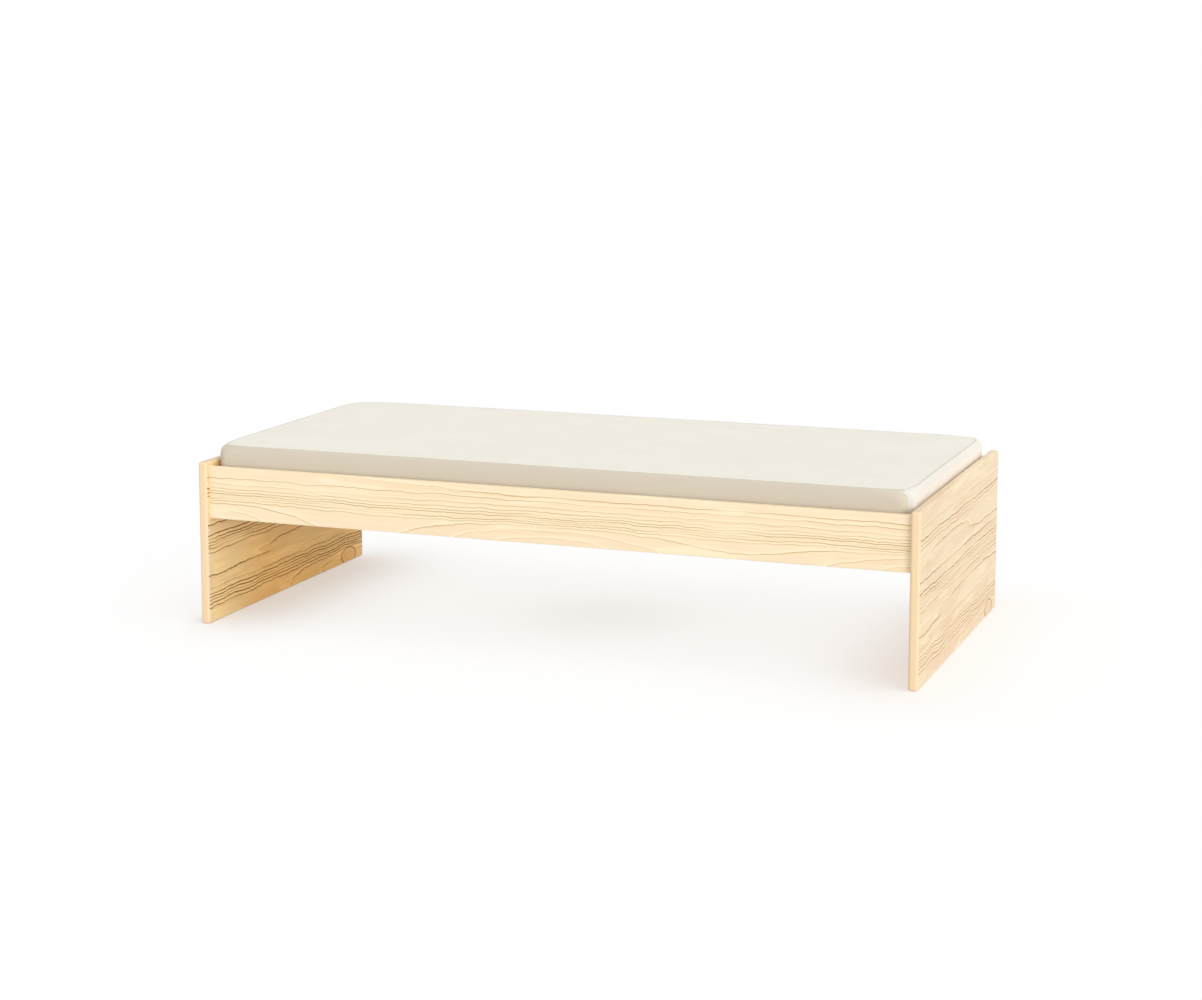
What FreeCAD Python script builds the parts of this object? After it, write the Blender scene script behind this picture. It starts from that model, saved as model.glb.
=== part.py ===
"""Low single bed: two solid end boards, two side rails, a slatted base and a foam mattress.

The origin is on the floor under the middle of the bed. +X runs along its length, +Y to its
back and +Z up. All sizes are in millimetres.
"""
import FreeCAD, Part
import os

Vector = FreeCAD.Vector

# --- Driving sizes -------------------------------------------------------------------------

# mattress: a foam block in a sewn cover
MATTRESS_LENGTH = 2000.0
MATTRESS_WIDTH = 900.0
MATTRESS_THICKNESS = 120.0
MATTRESS_CORNER = 35.0  # radius of the upright corners
MATTRESS_ROLL = 18.0  # radius of the rolled top and bottom edges
COVER_THICKNESS = 2.0
MATTRESS_END_GAP = 5.0  # to each end board
MATTRESS_SIDE_GAP = 2.0  # to each side rail

# end boards
BOARD_THICKNESS = 27.0
BOARD_HEIGHT = 464.0
BOARD_ROUND = 8.0

# side rails
RAIL_THICKNESS = 22.0
RAIL_HEIGHT = 148.0
RAIL_ROUND = 3.0
RAIL_SETBACK = 16.0  # outer face, in from the edges of the end boards
RAIL_DROP = 14.0  # top edge, down from the top of the end boards

# ledger strips that carry the slats
LEDGER_DEPTH = 25.0
LEDGER_HEIGHT = 25.0
LEDGER_END_GAP = 12.0
LEDGER_ROUND = 2.0
LEDGER_SCREW_COUNT = 7
LEDGER_SCREW_INSET = 75.0

# slats
SLAT_COUNT = 14
SLAT_WIDTH = 70.0
SLAT_THICKNESS = 18.0
SLAT_DROP = 62.0  # top face, down from the top edge of the rails
SLAT_ROUND = 3.0
SLAT_SIDE_GAP = 4.0  # each end to the side rail
SLAT_FIRST_GAP = 32.0  # end board to the first slat

# webbing straps that space the slats, and the staples that hold them
STRAP_WIDTH = 25.0
STRAP_THICKNESS = 1.2
STRAP_INSET = 152.0  # strap's middle, in from the inner face of the rail
STRAP_OVERHANG = 6.0  # end of the strap, in from the outer edge of the first slat
STAPLE_WIDTH = 12.0
STAPLE_LEG = 11.0
STAPLE_WIRE_WIDTH = 1.2
STAPLE_WIRE_THICKNESS = 0.5
STAPLE_SPREAD = 34.0  # between the two staples of a crossing

# wood screws: shank, head and countersink
LEDGER_SCREW_LENGTH = 40.0
SLAT_SCREW_LENGTH = 35.0
SCREW_SHANK = 4.0
SCREW_HEAD = 8.0
SCREW_HEAD_HEIGHT = 2.4
SCREW_TIP = 4.0
SCREW_SLOT_LENGTH = 4.4
SCREW_SLOT_WIDTH = 1.0
SCREW_SLOT_DEPTH = 1.2

# cam fittings and wooden dowels at the ends of the rails
FITTING_EDGE = 32.0  # cam fittings, in from the rail's top and bottom edges
CAM_SETBACK = 34.0  # cam's axis to the end of the rail
CAM_DIAMETER = 14.6
CAM_LENGTH = 15.0
CAM_SUNK = 0.6  # cam's face below the face of the rail
CAM_CROSS_LENGTH = 7.0
CAM_CROSS_WIDTH = 1.4
CAM_CROSS_DEPTH = 2.2
BOLT_THREAD_DIAMETER = 6.0
BOLT_THREAD_LENGTH = 11.0
BOLT_COLLAR_DIAMETER = 8.0
BOLT_COLLAR_LENGTH = 2.5
BOLT_SHANK_DIAMETER = 5.6
BOLT_NECK_DIAMETER = 4.0
BOLT_NECK_LENGTH = 8.0
BOLT_HEAD_DIAMETER = 6.8
BOLT_HEAD_LENGTH = 2.8
CAP_DIAMETER = 18.0
CAP_THICKNESS = 0.9
CAP_SPIGOT = 0.4
DOWEL_DIAMETER = 8.0
DOWEL_LENGTH = 36.0
DOWEL_IN_BOARD = 14.0
DOWEL_SPREAD = 32.0  # between the two dowels of a joint
DOWEL_CHAMFER = 1.0

# clearances
HOLE_CLEARANCE = 0.05  # radial, round every fastener
HOLE_END_CLEARANCE = 1.0  # past the tip of every fastener
CAM_CLEARANCE = 0.1  # radial, and round the bolt's head and neck
STAPLE_CLEARANCE = 0.05
SOFT_CLEARANCE = 0.3  # between a soft piece and what it lies on
SEAM_CLEARANCE = 0.2  # between the foam, the cover and its base cloth

# --- Sizes that follow ---------------------------------------------------------------------

INNER_LENGTH = MATTRESS_LENGTH + 2 * MATTRESS_END_GAP
INNER_WIDTH = MATTRESS_WIDTH + 2 * MATTRESS_SIDE_GAP
BED_WIDTH = INNER_WIDTH + 2 * (RAIL_THICKNESS + RAIL_SETBACK)
BOARD_FACE = INNER_LENGTH / 2  # inner face of each end board, from the middle
RAIL_FACE = INNER_WIDTH / 2  # inner face of each side rail, from the middle
RAIL_MIDDLE = RAIL_FACE + RAIL_THICKNESS / 2
RAIL_TOP = BOARD_HEIGHT - RAIL_DROP
RAIL_BOTTOM = RAIL_TOP - RAIL_HEIGHT
RAIL_CENTRE = (RAIL_TOP + RAIL_BOTTOM) / 2

SLAT_TOP = RAIL_TOP - SLAT_DROP
LEDGER_TOP = SLAT_TOP - SLAT_THICKNESS
LEDGER_HALF = BOARD_FACE - LEDGER_END_GAP
LEDGER_MIDDLE = LEDGER_TOP - LEDGER_HEIGHT / 2
SLAT_HALF = RAIL_FACE - SLAT_SIDE_GAP
SLAT_SPAN = INNER_LENGTH - 2 * SLAT_FIRST_GAP - SLAT_WIDTH
SLAT_PITCH = SLAT_SPAN / (SLAT_COUNT - 1)
SLAT_PLACES = [SLAT_PITCH * i - SLAT_SPAN / 2 for i in range(SLAT_COUNT)]

STRAP_TOP = SLAT_TOP + STRAP_THICKNESS
STRAP_LINE = RAIL_FACE - STRAP_INSET  # strap's middle, from the middle of the bed
STRAP_HALF = (SLAT_SPAN + SLAT_WIDTH) / 2 - STRAP_OVERHANG
MATTRESS_BOTTOM = STRAP_TOP + STAPLE_WIRE_THICKNESS + SOFT_CLEARANCE

LEDGER_SCREW_SPAN = 2 * (LEDGER_HALF - LEDGER_SCREW_INSET)
LEDGER_SCREW_PITCH = LEDGER_SCREW_SPAN / (LEDGER_SCREW_COUNT - 1)
LEDGER_SCREW_PLACES = [
    LEDGER_SCREW_PITCH * i - LEDGER_SCREW_SPAN / 2 for i in range(LEDGER_SCREW_COUNT)
]

FITTING_HEIGHTS = [RAIL_BOTTOM + FITTING_EDGE, RAIL_TOP - FITTING_EDGE]
DOWEL_HEIGHTS = [RAIL_CENTRE - DOWEL_SPREAD / 2, RAIL_CENTRE + DOWEL_SPREAD / 2]
HEAD_START = CAM_SETBACK - BOLT_HEAD_LENGTH / 2  # bolt's head, from the end board's face
NECK_START = HEAD_START - BOLT_NECK_LENGTH

ENDS = {"left": -1, "right": 1}
SIDES = {"front": -1, "back": 1}


# --- Shapes --------------------------------------------------------------------------------


def block(x, y, z):
    """A box from three (low, high) pairs, in either order."""
    low = Vector(min(x), min(y), min(z))
    size = Vector(max(x), max(y), max(z)) - low
    return Part.makeBox(size.x, size.y, size.z, low)


def edges_along(shape, axis):
    """The straight edges of a shape that run along one axis."""
    found = []
    for edge in shape.Edges:
        run = edge.Vertexes[-1].Point - edge.Vertexes[0].Point
        if run.Length > 0 and abs(run.dot(axis)) > 0.999 * run.Length:
            found.append(edge)
    return found


def stepped_pin(start, along, steps):
    """A turned pin of (radius, length) steps; a step's radius may be a (first, last) pair."""
    pin = None
    place = start
    for radius, length in steps:
        if isinstance(radius, tuple):
            piece = Part.makeCone(radius[0], radius[1], length, place, along)
        else:
            piece = Part.makeCylinder(radius, length, place, along)
        pin = piece if pin is None else pin.fuse(piece)
        place = place + along * length
    return pin.removeSplitter()


def mattress_block(inset):
    """The mattress's rolled outline, drawn in by inset on every side."""
    half_length = MATTRESS_LENGTH / 2 - inset
    half_width = MATTRESS_WIDTH / 2 - inset
    bottom = MATTRESS_BOTTOM + inset
    top = MATTRESS_BOTTOM + MATTRESS_THICKNESS - inset
    body = block((-half_length, half_length), (-half_width, half_width), (bottom, top))
    body = body.makeFillet(MATTRESS_CORNER - inset, edges_along(body, Vector(0, 0, 1)))
    rims = [edge for face in body.Faces if abs(face.normalAt(0, 0).z) > 0.999 for edge in face.Edges]
    return body.makeFillet(MATTRESS_ROLL - inset, rims)


# --- Fasteners -----------------------------------------------------------------------------


def screw(tip_way, head_at, length):
    """A countersunk wood screw whose head's face is at head_at and whose tip points along tip_way."""
    shank = length - SCREW_HEAD_HEIGHT - SCREW_TIP
    steps = [
        ((SCREW_HEAD / 2, SCREW_SHANK / 2), SCREW_HEAD_HEIGHT),
        (SCREW_SHANK / 2, shank),
        ((SCREW_SHANK / 2, SCREW_SHANK / 8), SCREW_TIP),
    ]
    pin = stepped_pin(head_at, tip_way, steps)
    slot = [
        Part.makeBox(across, up, 2 * SCREW_SLOT_DEPTH, Vector(-across / 2, -up / 2, -SCREW_SLOT_DEPTH))
        for across, up in (
            (SCREW_SLOT_LENGTH, SCREW_SLOT_WIDTH),
            (SCREW_SLOT_WIDTH, SCREW_SLOT_LENGTH),
        )
    ]
    turn = FreeCAD.Rotation(Vector(0, 0, 1), tip_way)
    for bar in slot:
        bar.Placement = FreeCAD.Placement(head_at, turn)
    return pin.cut(slot)


def screw_hole(tip_way, head_at, length):
    """The hole that takes such a screw, with its countersink."""
    wide = HOLE_CLEARANCE
    steps = [
        (SCREW_HEAD / 2 + wide, wide),
        ((SCREW_HEAD / 2 + wide, SCREW_SHANK / 2 + wide), SCREW_HEAD_HEIGHT),
        (SCREW_SHANK / 2 + wide, length - SCREW_HEAD_HEIGHT + HOLE_END_CLEARANCE),
    ]
    return stepped_pin(head_at - tip_way * wide, tip_way, steps)


def ledger_screw_seats(side):
    """Head place and direction of each screw that holds a ledger strip to its rail."""
    way = Vector(0, side, 0)
    face = side * (RAIL_FACE - LEDGER_DEPTH)
    return [(way, Vector(x, face, LEDGER_MIDDLE)) for x in LEDGER_SCREW_PLACES]


def slat_screw_seats():
    """Head place and direction of the screws that hold the first and last slats to the ledgers."""
    way = Vector(0, 0, -1)
    across = RAIL_FACE - LEDGER_DEPTH / 2
    return [
        (way, Vector(x, side * across, SLAT_TOP))
        for x in (SLAT_PLACES[0], SLAT_PLACES[-1])
        for side in SIDES.values()
    ]


def rail_joints():
    """The end and side signs of the four joints between rails and end boards."""
    return [(end, side) for end in ENDS.values() for side in SIDES.values()]


def connector_bolt(end, side, height):
    """A cam bolt: its thread is in the end board and its head in the cam."""
    inward = Vector(-end, 0, 0)
    face = Vector(end * BOARD_FACE, side * RAIL_MIDDLE, height)
    steps = [
        (BOLT_THREAD_DIAMETER / 2, BOLT_THREAD_LENGTH),
        (BOLT_COLLAR_DIAMETER / 2, BOLT_COLLAR_LENGTH),
        (BOLT_SHANK_DIAMETER / 2, NECK_START - BOLT_COLLAR_LENGTH),
        (BOLT_NECK_DIAMETER / 2, BOLT_NECK_LENGTH),
        (BOLT_HEAD_DIAMETER / 2, BOLT_HEAD_LENGTH),
    ]
    return stepped_pin(face - inward * BOLT_THREAD_LENGTH, inward, steps)


def connector_holes(end, side, height):
    """The board's hole for the bolt's thread, and the rail's bore for the rest of it."""
    inward = Vector(-end, 0, 0)
    face = Vector(end * BOARD_FACE, side * RAIL_MIDDLE, height)
    thread = Part.makeCylinder(
        BOLT_THREAD_DIAMETER / 2 + HOLE_CLEARANCE,
        BOLT_THREAD_LENGTH + HOLE_END_CLEARANCE,
        face,
        inward * -1,
    )
    bore = Part.makeCylinder(BOLT_COLLAR_DIAMETER / 2 + HOLE_CLEARANCE, CAM_SETBACK, face, inward)
    return thread, bore


def cam_axis(end, side, height, depth):
    """A point on a cam's axis, at a depth below the rail's inner face."""
    return Vector(end * (BOARD_FACE - CAM_SETBACK), side * (RAIL_FACE + depth), height)


def cam_housing(end, side, height):
    """The rail's blind hole for a cam."""
    return Part.makeCylinder(
        CAM_DIAMETER / 2 + CAM_CLEARANCE,
        CAM_SUNK + CAM_LENGTH + HOLE_CLEARANCE,
        cam_axis(end, side, height, 0),
        Vector(0, side, 0),
    )


def cam(end, side, height):
    """A cam: a short drum, slotted for the bolt's neck and head, with a cross for the driver."""
    drum = Part.makeCylinder(
        CAM_DIAMETER / 2, CAM_LENGTH, cam_axis(end, side, height, CAM_SUNK), Vector(0, side, 0)
    )
    foot = side * (RAIL_FACE + CAM_SUNK + CAM_LENGTH + CAM_CLEARANCE)
    bolt_line = side * RAIL_MIDDLE
    inward = Vector(-end, 0, 0)
    tools = []
    for radius, start, length in (
        (BOLT_NECK_DIAMETER / 2, CAM_SETBACK - CAM_DIAMETER, CAM_DIAMETER),
        (BOLT_HEAD_DIAMETER / 2, HEAD_START, BOLT_HEAD_LENGTH),
    ):
        room = radius + CAM_CLEARANCE
        near = end * (BOARD_FACE - start + CAM_CLEARANCE)
        far = end * (BOARD_FACE - start - length - CAM_CLEARANCE)
        run = abs(far - near)
        tools.append(Part.makeCylinder(room, run, Vector(near, bolt_line, height), inward))
        tools.append(block((near, far), (bolt_line, foot), (height - room, height + room)))
    centre = cam_axis(end, side, height, CAM_SUNK)
    sunk = centre.y + side * CAM_CROSS_DEPTH
    long_half = CAM_CROSS_LENGTH / 2
    short_half = CAM_CROSS_WIDTH / 2
    for half_x, half_z in ((long_half, short_half), (short_half, long_half)):
        tools.append(
            block(
                (centre.x - half_x, centre.x + half_x),
                (centre.y, sunk),
                (height - half_z, height + half_z),
            )
        )
    return drum.cut(tools)


def cam_cap(end, side, height):
    """A thin cap on the rail's face, with a spigot in the mouth of the cam's hole."""
    away = Vector(0, -side, 0)
    disc = Part.makeCylinder(CAP_DIAMETER / 2, CAP_THICKNESS, cam_axis(end, side, height, 0), away)
    spigot = Part.makeCylinder(
        CAM_DIAMETER / 2, CAP_SPIGOT, cam_axis(end, side, height, CAP_SPIGOT), away
    )
    return disc.fuse(spigot).removeSplitter()


def dowel(end, side, height):
    """A wooden dowel across the joint between a rail and an end board."""
    inward = Vector(-end, 0, 0)
    start = Vector(end * (BOARD_FACE + DOWEL_IN_BOARD), side * RAIL_MIDDLE, height)
    radius = DOWEL_DIAMETER / 2
    steps = [
        ((radius - DOWEL_CHAMFER, radius), DOWEL_CHAMFER),
        (radius, DOWEL_LENGTH - 2 * DOWEL_CHAMFER),
        ((radius, radius - DOWEL_CHAMFER), DOWEL_CHAMFER),
    ]
    return stepped_pin(start, inward, steps)


def dowel_hole(end, side, height):
    """The hole for a dowel, through the joint's face into both pieces."""
    inward = Vector(-end, 0, 0)
    start = Vector(end * (BOARD_FACE + DOWEL_IN_BOARD + HOLE_END_CLEARANCE), side * RAIL_MIDDLE, height)
    return Part.makeCylinder(
        DOWEL_DIAMETER / 2 + HOLE_CLEARANCE, DOWEL_LENGTH + 2 * HOLE_END_CLEARANCE, start, inward
    )


def staple_places(slat_x):
    """The middle of each staple on one slat."""
    return [
        (slat_x + step * STAPLE_SPREAD / 2, side * STRAP_LINE)
        for step in (-1, 1)
        for side in SIDES.values()
    ]


def staple(x, y, room):
    """A staple across a strap, made larger by room all round for its holes."""
    half_wire = STAPLE_WIRE_WIDTH / 2 + room
    half_width = STAPLE_WIDTH / 2 + room
    leg = STAPLE_WIRE_THICKNESS + 2 * room
    top = STRAP_TOP + STAPLE_WIRE_THICKNESS + room
    tip = top - STAPLE_WIRE_THICKNESS - STAPLE_LEG - 2 * room
    crown_under = STRAP_TOP
    across = (x - half_wire, x + half_wire)
    crown = block(across, (y - half_width, y + half_width), (crown_under, top))
    left = block(across, (y - half_width, y - half_width + leg), (tip, crown_under))
    right = block(across, (y + half_width - leg, y + half_width), (tip, crown_under))
    return crown.fuse([left, right]).removeSplitter()


# --- Wooden pieces -------------------------------------------------------------------------


def end_board(end):
    """A solid end board that stands on the floor, rounded on every edge and bored for the rails."""
    inner = end * BOARD_FACE
    outer = end * (BOARD_FACE + BOARD_THICKNESS)
    board = block((inner, outer), (-BED_WIDTH / 2, BED_WIDTH / 2), (0, BOARD_HEIGHT))
    board = board.makeFillet(BOARD_ROUND, board.Edges)
    holes = []
    for side in SIDES.values():
        holes += [connector_holes(end, side, height)[0] for height in FITTING_HEIGHTS]
        holes += [dowel_hole(end, side, height) for height in DOWEL_HEIGHTS]
    return board.cut(holes)


def side_rail(side):
    """A side rail that butts against both end boards, bored for cams, bolts, dowels and screws."""
    rail = block(
        (-BOARD_FACE, BOARD_FACE),
        (side * RAIL_FACE, side * (RAIL_FACE + RAIL_THICKNESS)),
        (RAIL_BOTTOM, RAIL_TOP),
    )
    rail = rail.makeFillet(RAIL_ROUND, edges_along(rail, Vector(1, 0, 0)))
    holes = [screw_hole(way, seat, LEDGER_SCREW_LENGTH) for way, seat in ledger_screw_seats(side)]
    for end in ENDS.values():
        for height in FITTING_HEIGHTS:
            holes.append(connector_holes(end, side, height)[1])
            holes.append(cam_housing(end, side, height))
        holes += [dowel_hole(end, side, height) for height in DOWEL_HEIGHTS]
    return rail.cut(holes)


def slat_ledger(side):
    """A strip screwed along the inside of a rail, which carries the ends of the slats."""
    strip = block(
        (-LEDGER_HALF, LEDGER_HALF),
        (side * RAIL_FACE, side * (RAIL_FACE - LEDGER_DEPTH)),
        (LEDGER_TOP - LEDGER_HEIGHT, LEDGER_TOP),
    )
    free = [
        edge
        for edge in edges_along(strip, Vector(1, 0, 0))
        if abs(edge.Vertexes[0].Point.y) < RAIL_FACE - LEDGER_DEPTH / 2
    ]
    strip = strip.makeFillet(LEDGER_ROUND, free)
    holes = [screw_hole(way, seat, LEDGER_SCREW_LENGTH) for way, seat in ledger_screw_seats(side)]
    holes += [screw_hole(way, seat, SLAT_SCREW_LENGTH) for way, seat in slat_screw_seats()]
    return strip.cut(holes)


def slat(index):
    """A slat across the two ledgers, with holes for its staples and, on the end slats, its screws."""
    x = SLAT_PLACES[index]
    board = block(
        (x - SLAT_WIDTH / 2, x + SLAT_WIDTH / 2), (-SLAT_HALF, SLAT_HALF), (LEDGER_TOP, SLAT_TOP)
    )
    board = board.makeFillet(SLAT_ROUND, edges_along(board, Vector(0, 1, 0)))
    holes = [staple(*place, STAPLE_CLEARANCE) for place in staple_places(x)]
    if index in (0, SLAT_COUNT - 1):
        holes += [screw_hole(way, seat, SLAT_SCREW_LENGTH) for way, seat in slat_screw_seats()]
    return board.cut(holes)


# --- Soft pieces ---------------------------------------------------------------------------


def slat_strap(side):
    """A webbing strap stapled along the tops of the slats."""
    y = side * STRAP_LINE
    strap = block(
        (-STRAP_HALF, STRAP_HALF), (y - STRAP_WIDTH / 2, y + STRAP_WIDTH / 2), (SLAT_TOP, STRAP_TOP)
    )
    holes = [
        staple(x, at, STAPLE_CLEARANCE)
        for slat_x in SLAT_PLACES
        for x, at in staple_places(slat_x)
        if at == y
    ]
    return strap.cut(holes)


def base_cloth(room):
    """The flat cloth panel under the foam, made larger by room at its edges."""
    half_length = MATTRESS_LENGTH / 2 - MATTRESS_ROLL + room
    half_width = MATTRESS_WIDTH / 2 - MATTRESS_ROLL + room
    panel = block(
        (-half_length, half_length),
        (-half_width, half_width),
        (MATTRESS_BOTTOM, MATTRESS_BOTTOM + COVER_THICKNESS),
    )
    corner = MATTRESS_CORNER - MATTRESS_ROLL + room
    return panel.makeFillet(corner, edges_along(panel, Vector(0, 0, 1)))


def mattress_core():
    """The foam block."""
    return mattress_block(COVER_THICKNESS + SEAM_CLEARANCE)


def mattress_cover():
    """The cover's top and sides, rolled in under the foam and open where the base cloth is."""
    shell = mattress_block(0).cut(mattress_block(COVER_THICKNESS))
    return shell.cut(base_cloth(SEAM_CLEARANCE))


# --- Every piece, one file each ------------------------------------------------------------


def fitted(make, heights):
    """One fastener at each of the given heights of all four rail joints, as separate solids."""
    return Part.makeCompound(
        [make(end, side, height) for end, side in rail_joints() for height in heights]
    )


def screws(seats, length):
    """A group of screws in their seats."""
    return Part.makeCompound([screw(way, seat, length) for way, seat in seats])


def all_pieces():
    """Every piece of the bed by name."""
    pieces = {}
    for name, end in ENDS.items():
        pieces["end_board_" + name] = end_board(end)
    for name, side in SIDES.items():
        pieces["side_rail_" + name] = side_rail(side)
        pieces["slat_ledger_" + name] = slat_ledger(side)
        pieces["ledger_screws_" + name] = screws(ledger_screw_seats(side), LEDGER_SCREW_LENGTH)
        pieces["slat_strap_" + name] = slat_strap(side)
    for index in range(SLAT_COUNT):
        pieces["slat_%02d" % (index + 1)] = slat(index)
    pieces["end_slat_screws"] = screws(slat_screw_seats(), SLAT_SCREW_LENGTH)
    pieces["strap_staples"] = Part.makeCompound(
        [staple(*place, 0) for x in SLAT_PLACES for place in staple_places(x)]
    )
    pieces["cam_bolts"] = fitted(connector_bolt, FITTING_HEIGHTS)
    pieces["cams"] = fitted(cam, FITTING_HEIGHTS)
    pieces["cam_caps"] = fitted(cam_cap, FITTING_HEIGHTS)
    pieces["rail_dowels"] = fitted(dowel, DOWEL_HEIGHTS)
    pieces["mattress_core"] = mattress_core()
    pieces["mattress_cover"] = mattress_cover()
    pieces["mattress_base_cloth"] = base_cloth(0)
    return pieces


os.makedirs("parts", exist_ok=True)
for node, shape in all_pieces().items():
    shape.exportStep("parts/%s.step" % node)
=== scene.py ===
"""A low single bed in pale lacquered pine with a loose foam mattress, dressed round its CAD frame.

Lengths are in metres: X runs along the bed, Y to the back and Z up, and the origin is on the
floor under the middle of the bed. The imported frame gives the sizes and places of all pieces.
"""

import math

import bmesh
import bpy
import numpy as np
from bpy.props import FloatProperty, FloatVectorProperty, IntProperty, PointerProperty
from mathutils import Matrix, Vector, noise


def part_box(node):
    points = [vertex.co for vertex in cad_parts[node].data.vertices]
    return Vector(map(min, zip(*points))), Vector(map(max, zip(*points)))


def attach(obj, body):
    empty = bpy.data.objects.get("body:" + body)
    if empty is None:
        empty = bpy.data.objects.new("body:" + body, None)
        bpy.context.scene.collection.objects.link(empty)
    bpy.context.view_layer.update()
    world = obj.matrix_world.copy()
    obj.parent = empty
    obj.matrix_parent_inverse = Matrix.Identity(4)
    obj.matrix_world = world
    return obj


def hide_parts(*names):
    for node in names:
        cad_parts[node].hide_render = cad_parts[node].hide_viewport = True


bl_info = {
    "name": "Low Pine Bed",
    "version": (1, 0, 0),
    "blender": (4, 5, 0),
    "location": "View3D > Sidebar > Bed",
    "description": "Dresses the packed frame of a low pine bed and its foam mattress",
    "category": "Object",
}

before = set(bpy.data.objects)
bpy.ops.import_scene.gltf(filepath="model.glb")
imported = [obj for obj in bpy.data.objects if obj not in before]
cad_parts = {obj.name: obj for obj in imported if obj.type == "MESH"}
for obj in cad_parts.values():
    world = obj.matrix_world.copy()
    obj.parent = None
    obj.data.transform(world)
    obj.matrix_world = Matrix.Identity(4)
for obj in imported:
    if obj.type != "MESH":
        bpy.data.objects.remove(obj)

MM = 0.001
BEDSTEAD = "bedstead"
MATTRESS = "mattress"
ENDS = ("left", "right")
SIDES = {"front": -1, "back": 1}


def tone(red, green, blue):
    """A display colour of 0 to 255 as the linear colour that a shader takes."""
    shares = [value / 255 for value in (red, green, blue)]
    return tuple(s / 12.92 if s <= 0.04045 else ((s + 0.055) / 1.055) ** 2.4 for s in shares)


# --- Node sums -------------------------------------------------------------------------------


class Wire:
    """A node's output that takes part in sums: each sum adds a Math node."""

    def __init__(self, net, socket):
        self.net = net
        self.socket = socket

    def output(self, name):
        """Another output of the same node."""
        return Wire(self.net, self.socket.node.outputs[name])

    def sum(self, operation, *terms):
        return self.net.math(operation, *terms)

    def __add__(self, other):
        return self.sum("ADD", self, other)

    def __sub__(self, other):
        return self.sum("SUBTRACT", self, other)

    def __rsub__(self, other):
        return self.sum("SUBTRACT", other, self)

    def __mul__(self, other):
        return self.sum("MULTIPLY", self, other)

    def __truediv__(self, other):
        return self.sum("DIVIDE", self, other)

    def __rtruediv__(self, other):
        return self.sum("DIVIDE", other, self)

    def __pow__(self, other):
        return self.sum("POWER", self, other)

    def __abs__(self):
        return self.sum("ABSOLUTE", self)

    __radd__ = __add__
    __rmul__ = __mul__


class Net:
    """Adds nodes to one shader or geometry tree."""

    def __init__(self, tree):
        self.tree = tree
        self.tree.nodes.clear()

    def add(self, kind, settings=None, values=(), output=0):
        """One node: its settings, then its sockets' values or links, and the output to go on with."""
        node = self.tree.nodes.new(kind)
        for name, setting in (settings or {}).items():
            setattr(node, name, setting)
        pairs = values.items() if isinstance(values, dict) else enumerate(values)
        for socket, value in pairs:
            if isinstance(value, Wire):
                self.tree.links.new(value.socket, node.inputs[socket])
            else:
                node.inputs[socket].default_value = value
        return Wire(self, node.outputs[output] if node.outputs else None)

    def vector(self, x, y, z):
        return self.add("ShaderNodeCombineXYZ", None, (x, y, z))

    def split(self, vector):
        """A vector's three numbers."""
        parts = self.add("ShaderNodeSeparateXYZ", None, (vector,))
        return parts, parts.output("Y"), parts.output("Z")

    def spot(self):
        """The object's own X, Y and Z."""
        return self.split(self.add("ShaderNodeTexCoord", output="Object"))

    def grade(self, value, low, high, first=0.0, last=1.0):
        """Goes smoothly from first to last while the value goes from low to high."""
        return self.add(
            "ShaderNodeMapRange", {"interpolation_type": "SMOOTHSTEP"}, (value, low, high, first, last)
        )

    def blend(self, share, under, over):
        """Two colours mixed by a share of the second."""
        return self.add("ShaderNodeMix", {"data_type": "RGBA"}, {0: share, 6: under, 7: over}, 2)

    def cloud(self, place, detail=2.0, roughness=0.5):
        """Smooth noise from -0.5 to 0.5; the place's own scale sets its size."""
        values = {"Vector": place, "Scale": 1.0, "Detail": detail, "Roughness": roughness}
        return self.add("ShaderNodeTexNoise", None, values) - 0.5

    def chance(self, number):
        """A fixed random share for each whole number."""
        return self.add("ShaderNodeTexWhiteNoise", {"noise_dimensions": "1D"}, {"W": number})

    def math(self, operation, *terms):
        return self.add("ShaderNodeMath", {"operation": operation}, terms)

    def whole(self, value):
        return self.math("FLOOR", value)

    def part(self, value):
        return self.math("FRACT", value)

    def sine(self, value):
        return self.math("SINE", value)

    def bell(self, square):
        """From a distance's square: one at nought, 0.37 at one, and falling on smoothly."""
        return self.math("EXPONENT", square * -1.0)

    def most(self, one, other):
        return self.math("MAXIMUM", one, other)


def new_material(name):
    """An empty material and its net."""
    material = bpy.data.materials.new(name)
    material.use_nodes = True
    return material, Net(material.node_tree)


def close_material(net, colour, roughness, height=None, lift=0.0002, **fixed):
    """The surface shader: its varying inputs, a bump of real height, and its fixed values."""
    values = {"Base Color": colour, "Roughness": roughness}
    if height is not None:
        bump = {"Height": height, "Strength": 1.0, "Distance": lift}
        values["Normal"] = net.add("ShaderNodeBump", None, bump)
    values.update({name.replace("_", " "): value for name, value in fixed.items()})
    shader = net.add("ShaderNodeBsdfPrincipled", None, values)
    net.add("ShaderNodeOutputMaterial", None, {"Surface": shader})


def opaque(colour):
    return (*colour, 1.0)


def shaded(share, colour):
    """A colour made deeper or paler by a share, but never past white."""
    return opaque(tuple(min(1.0, share * part) for part in colour))


# --- Wood ------------------------------------------------------------------------------------

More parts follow.
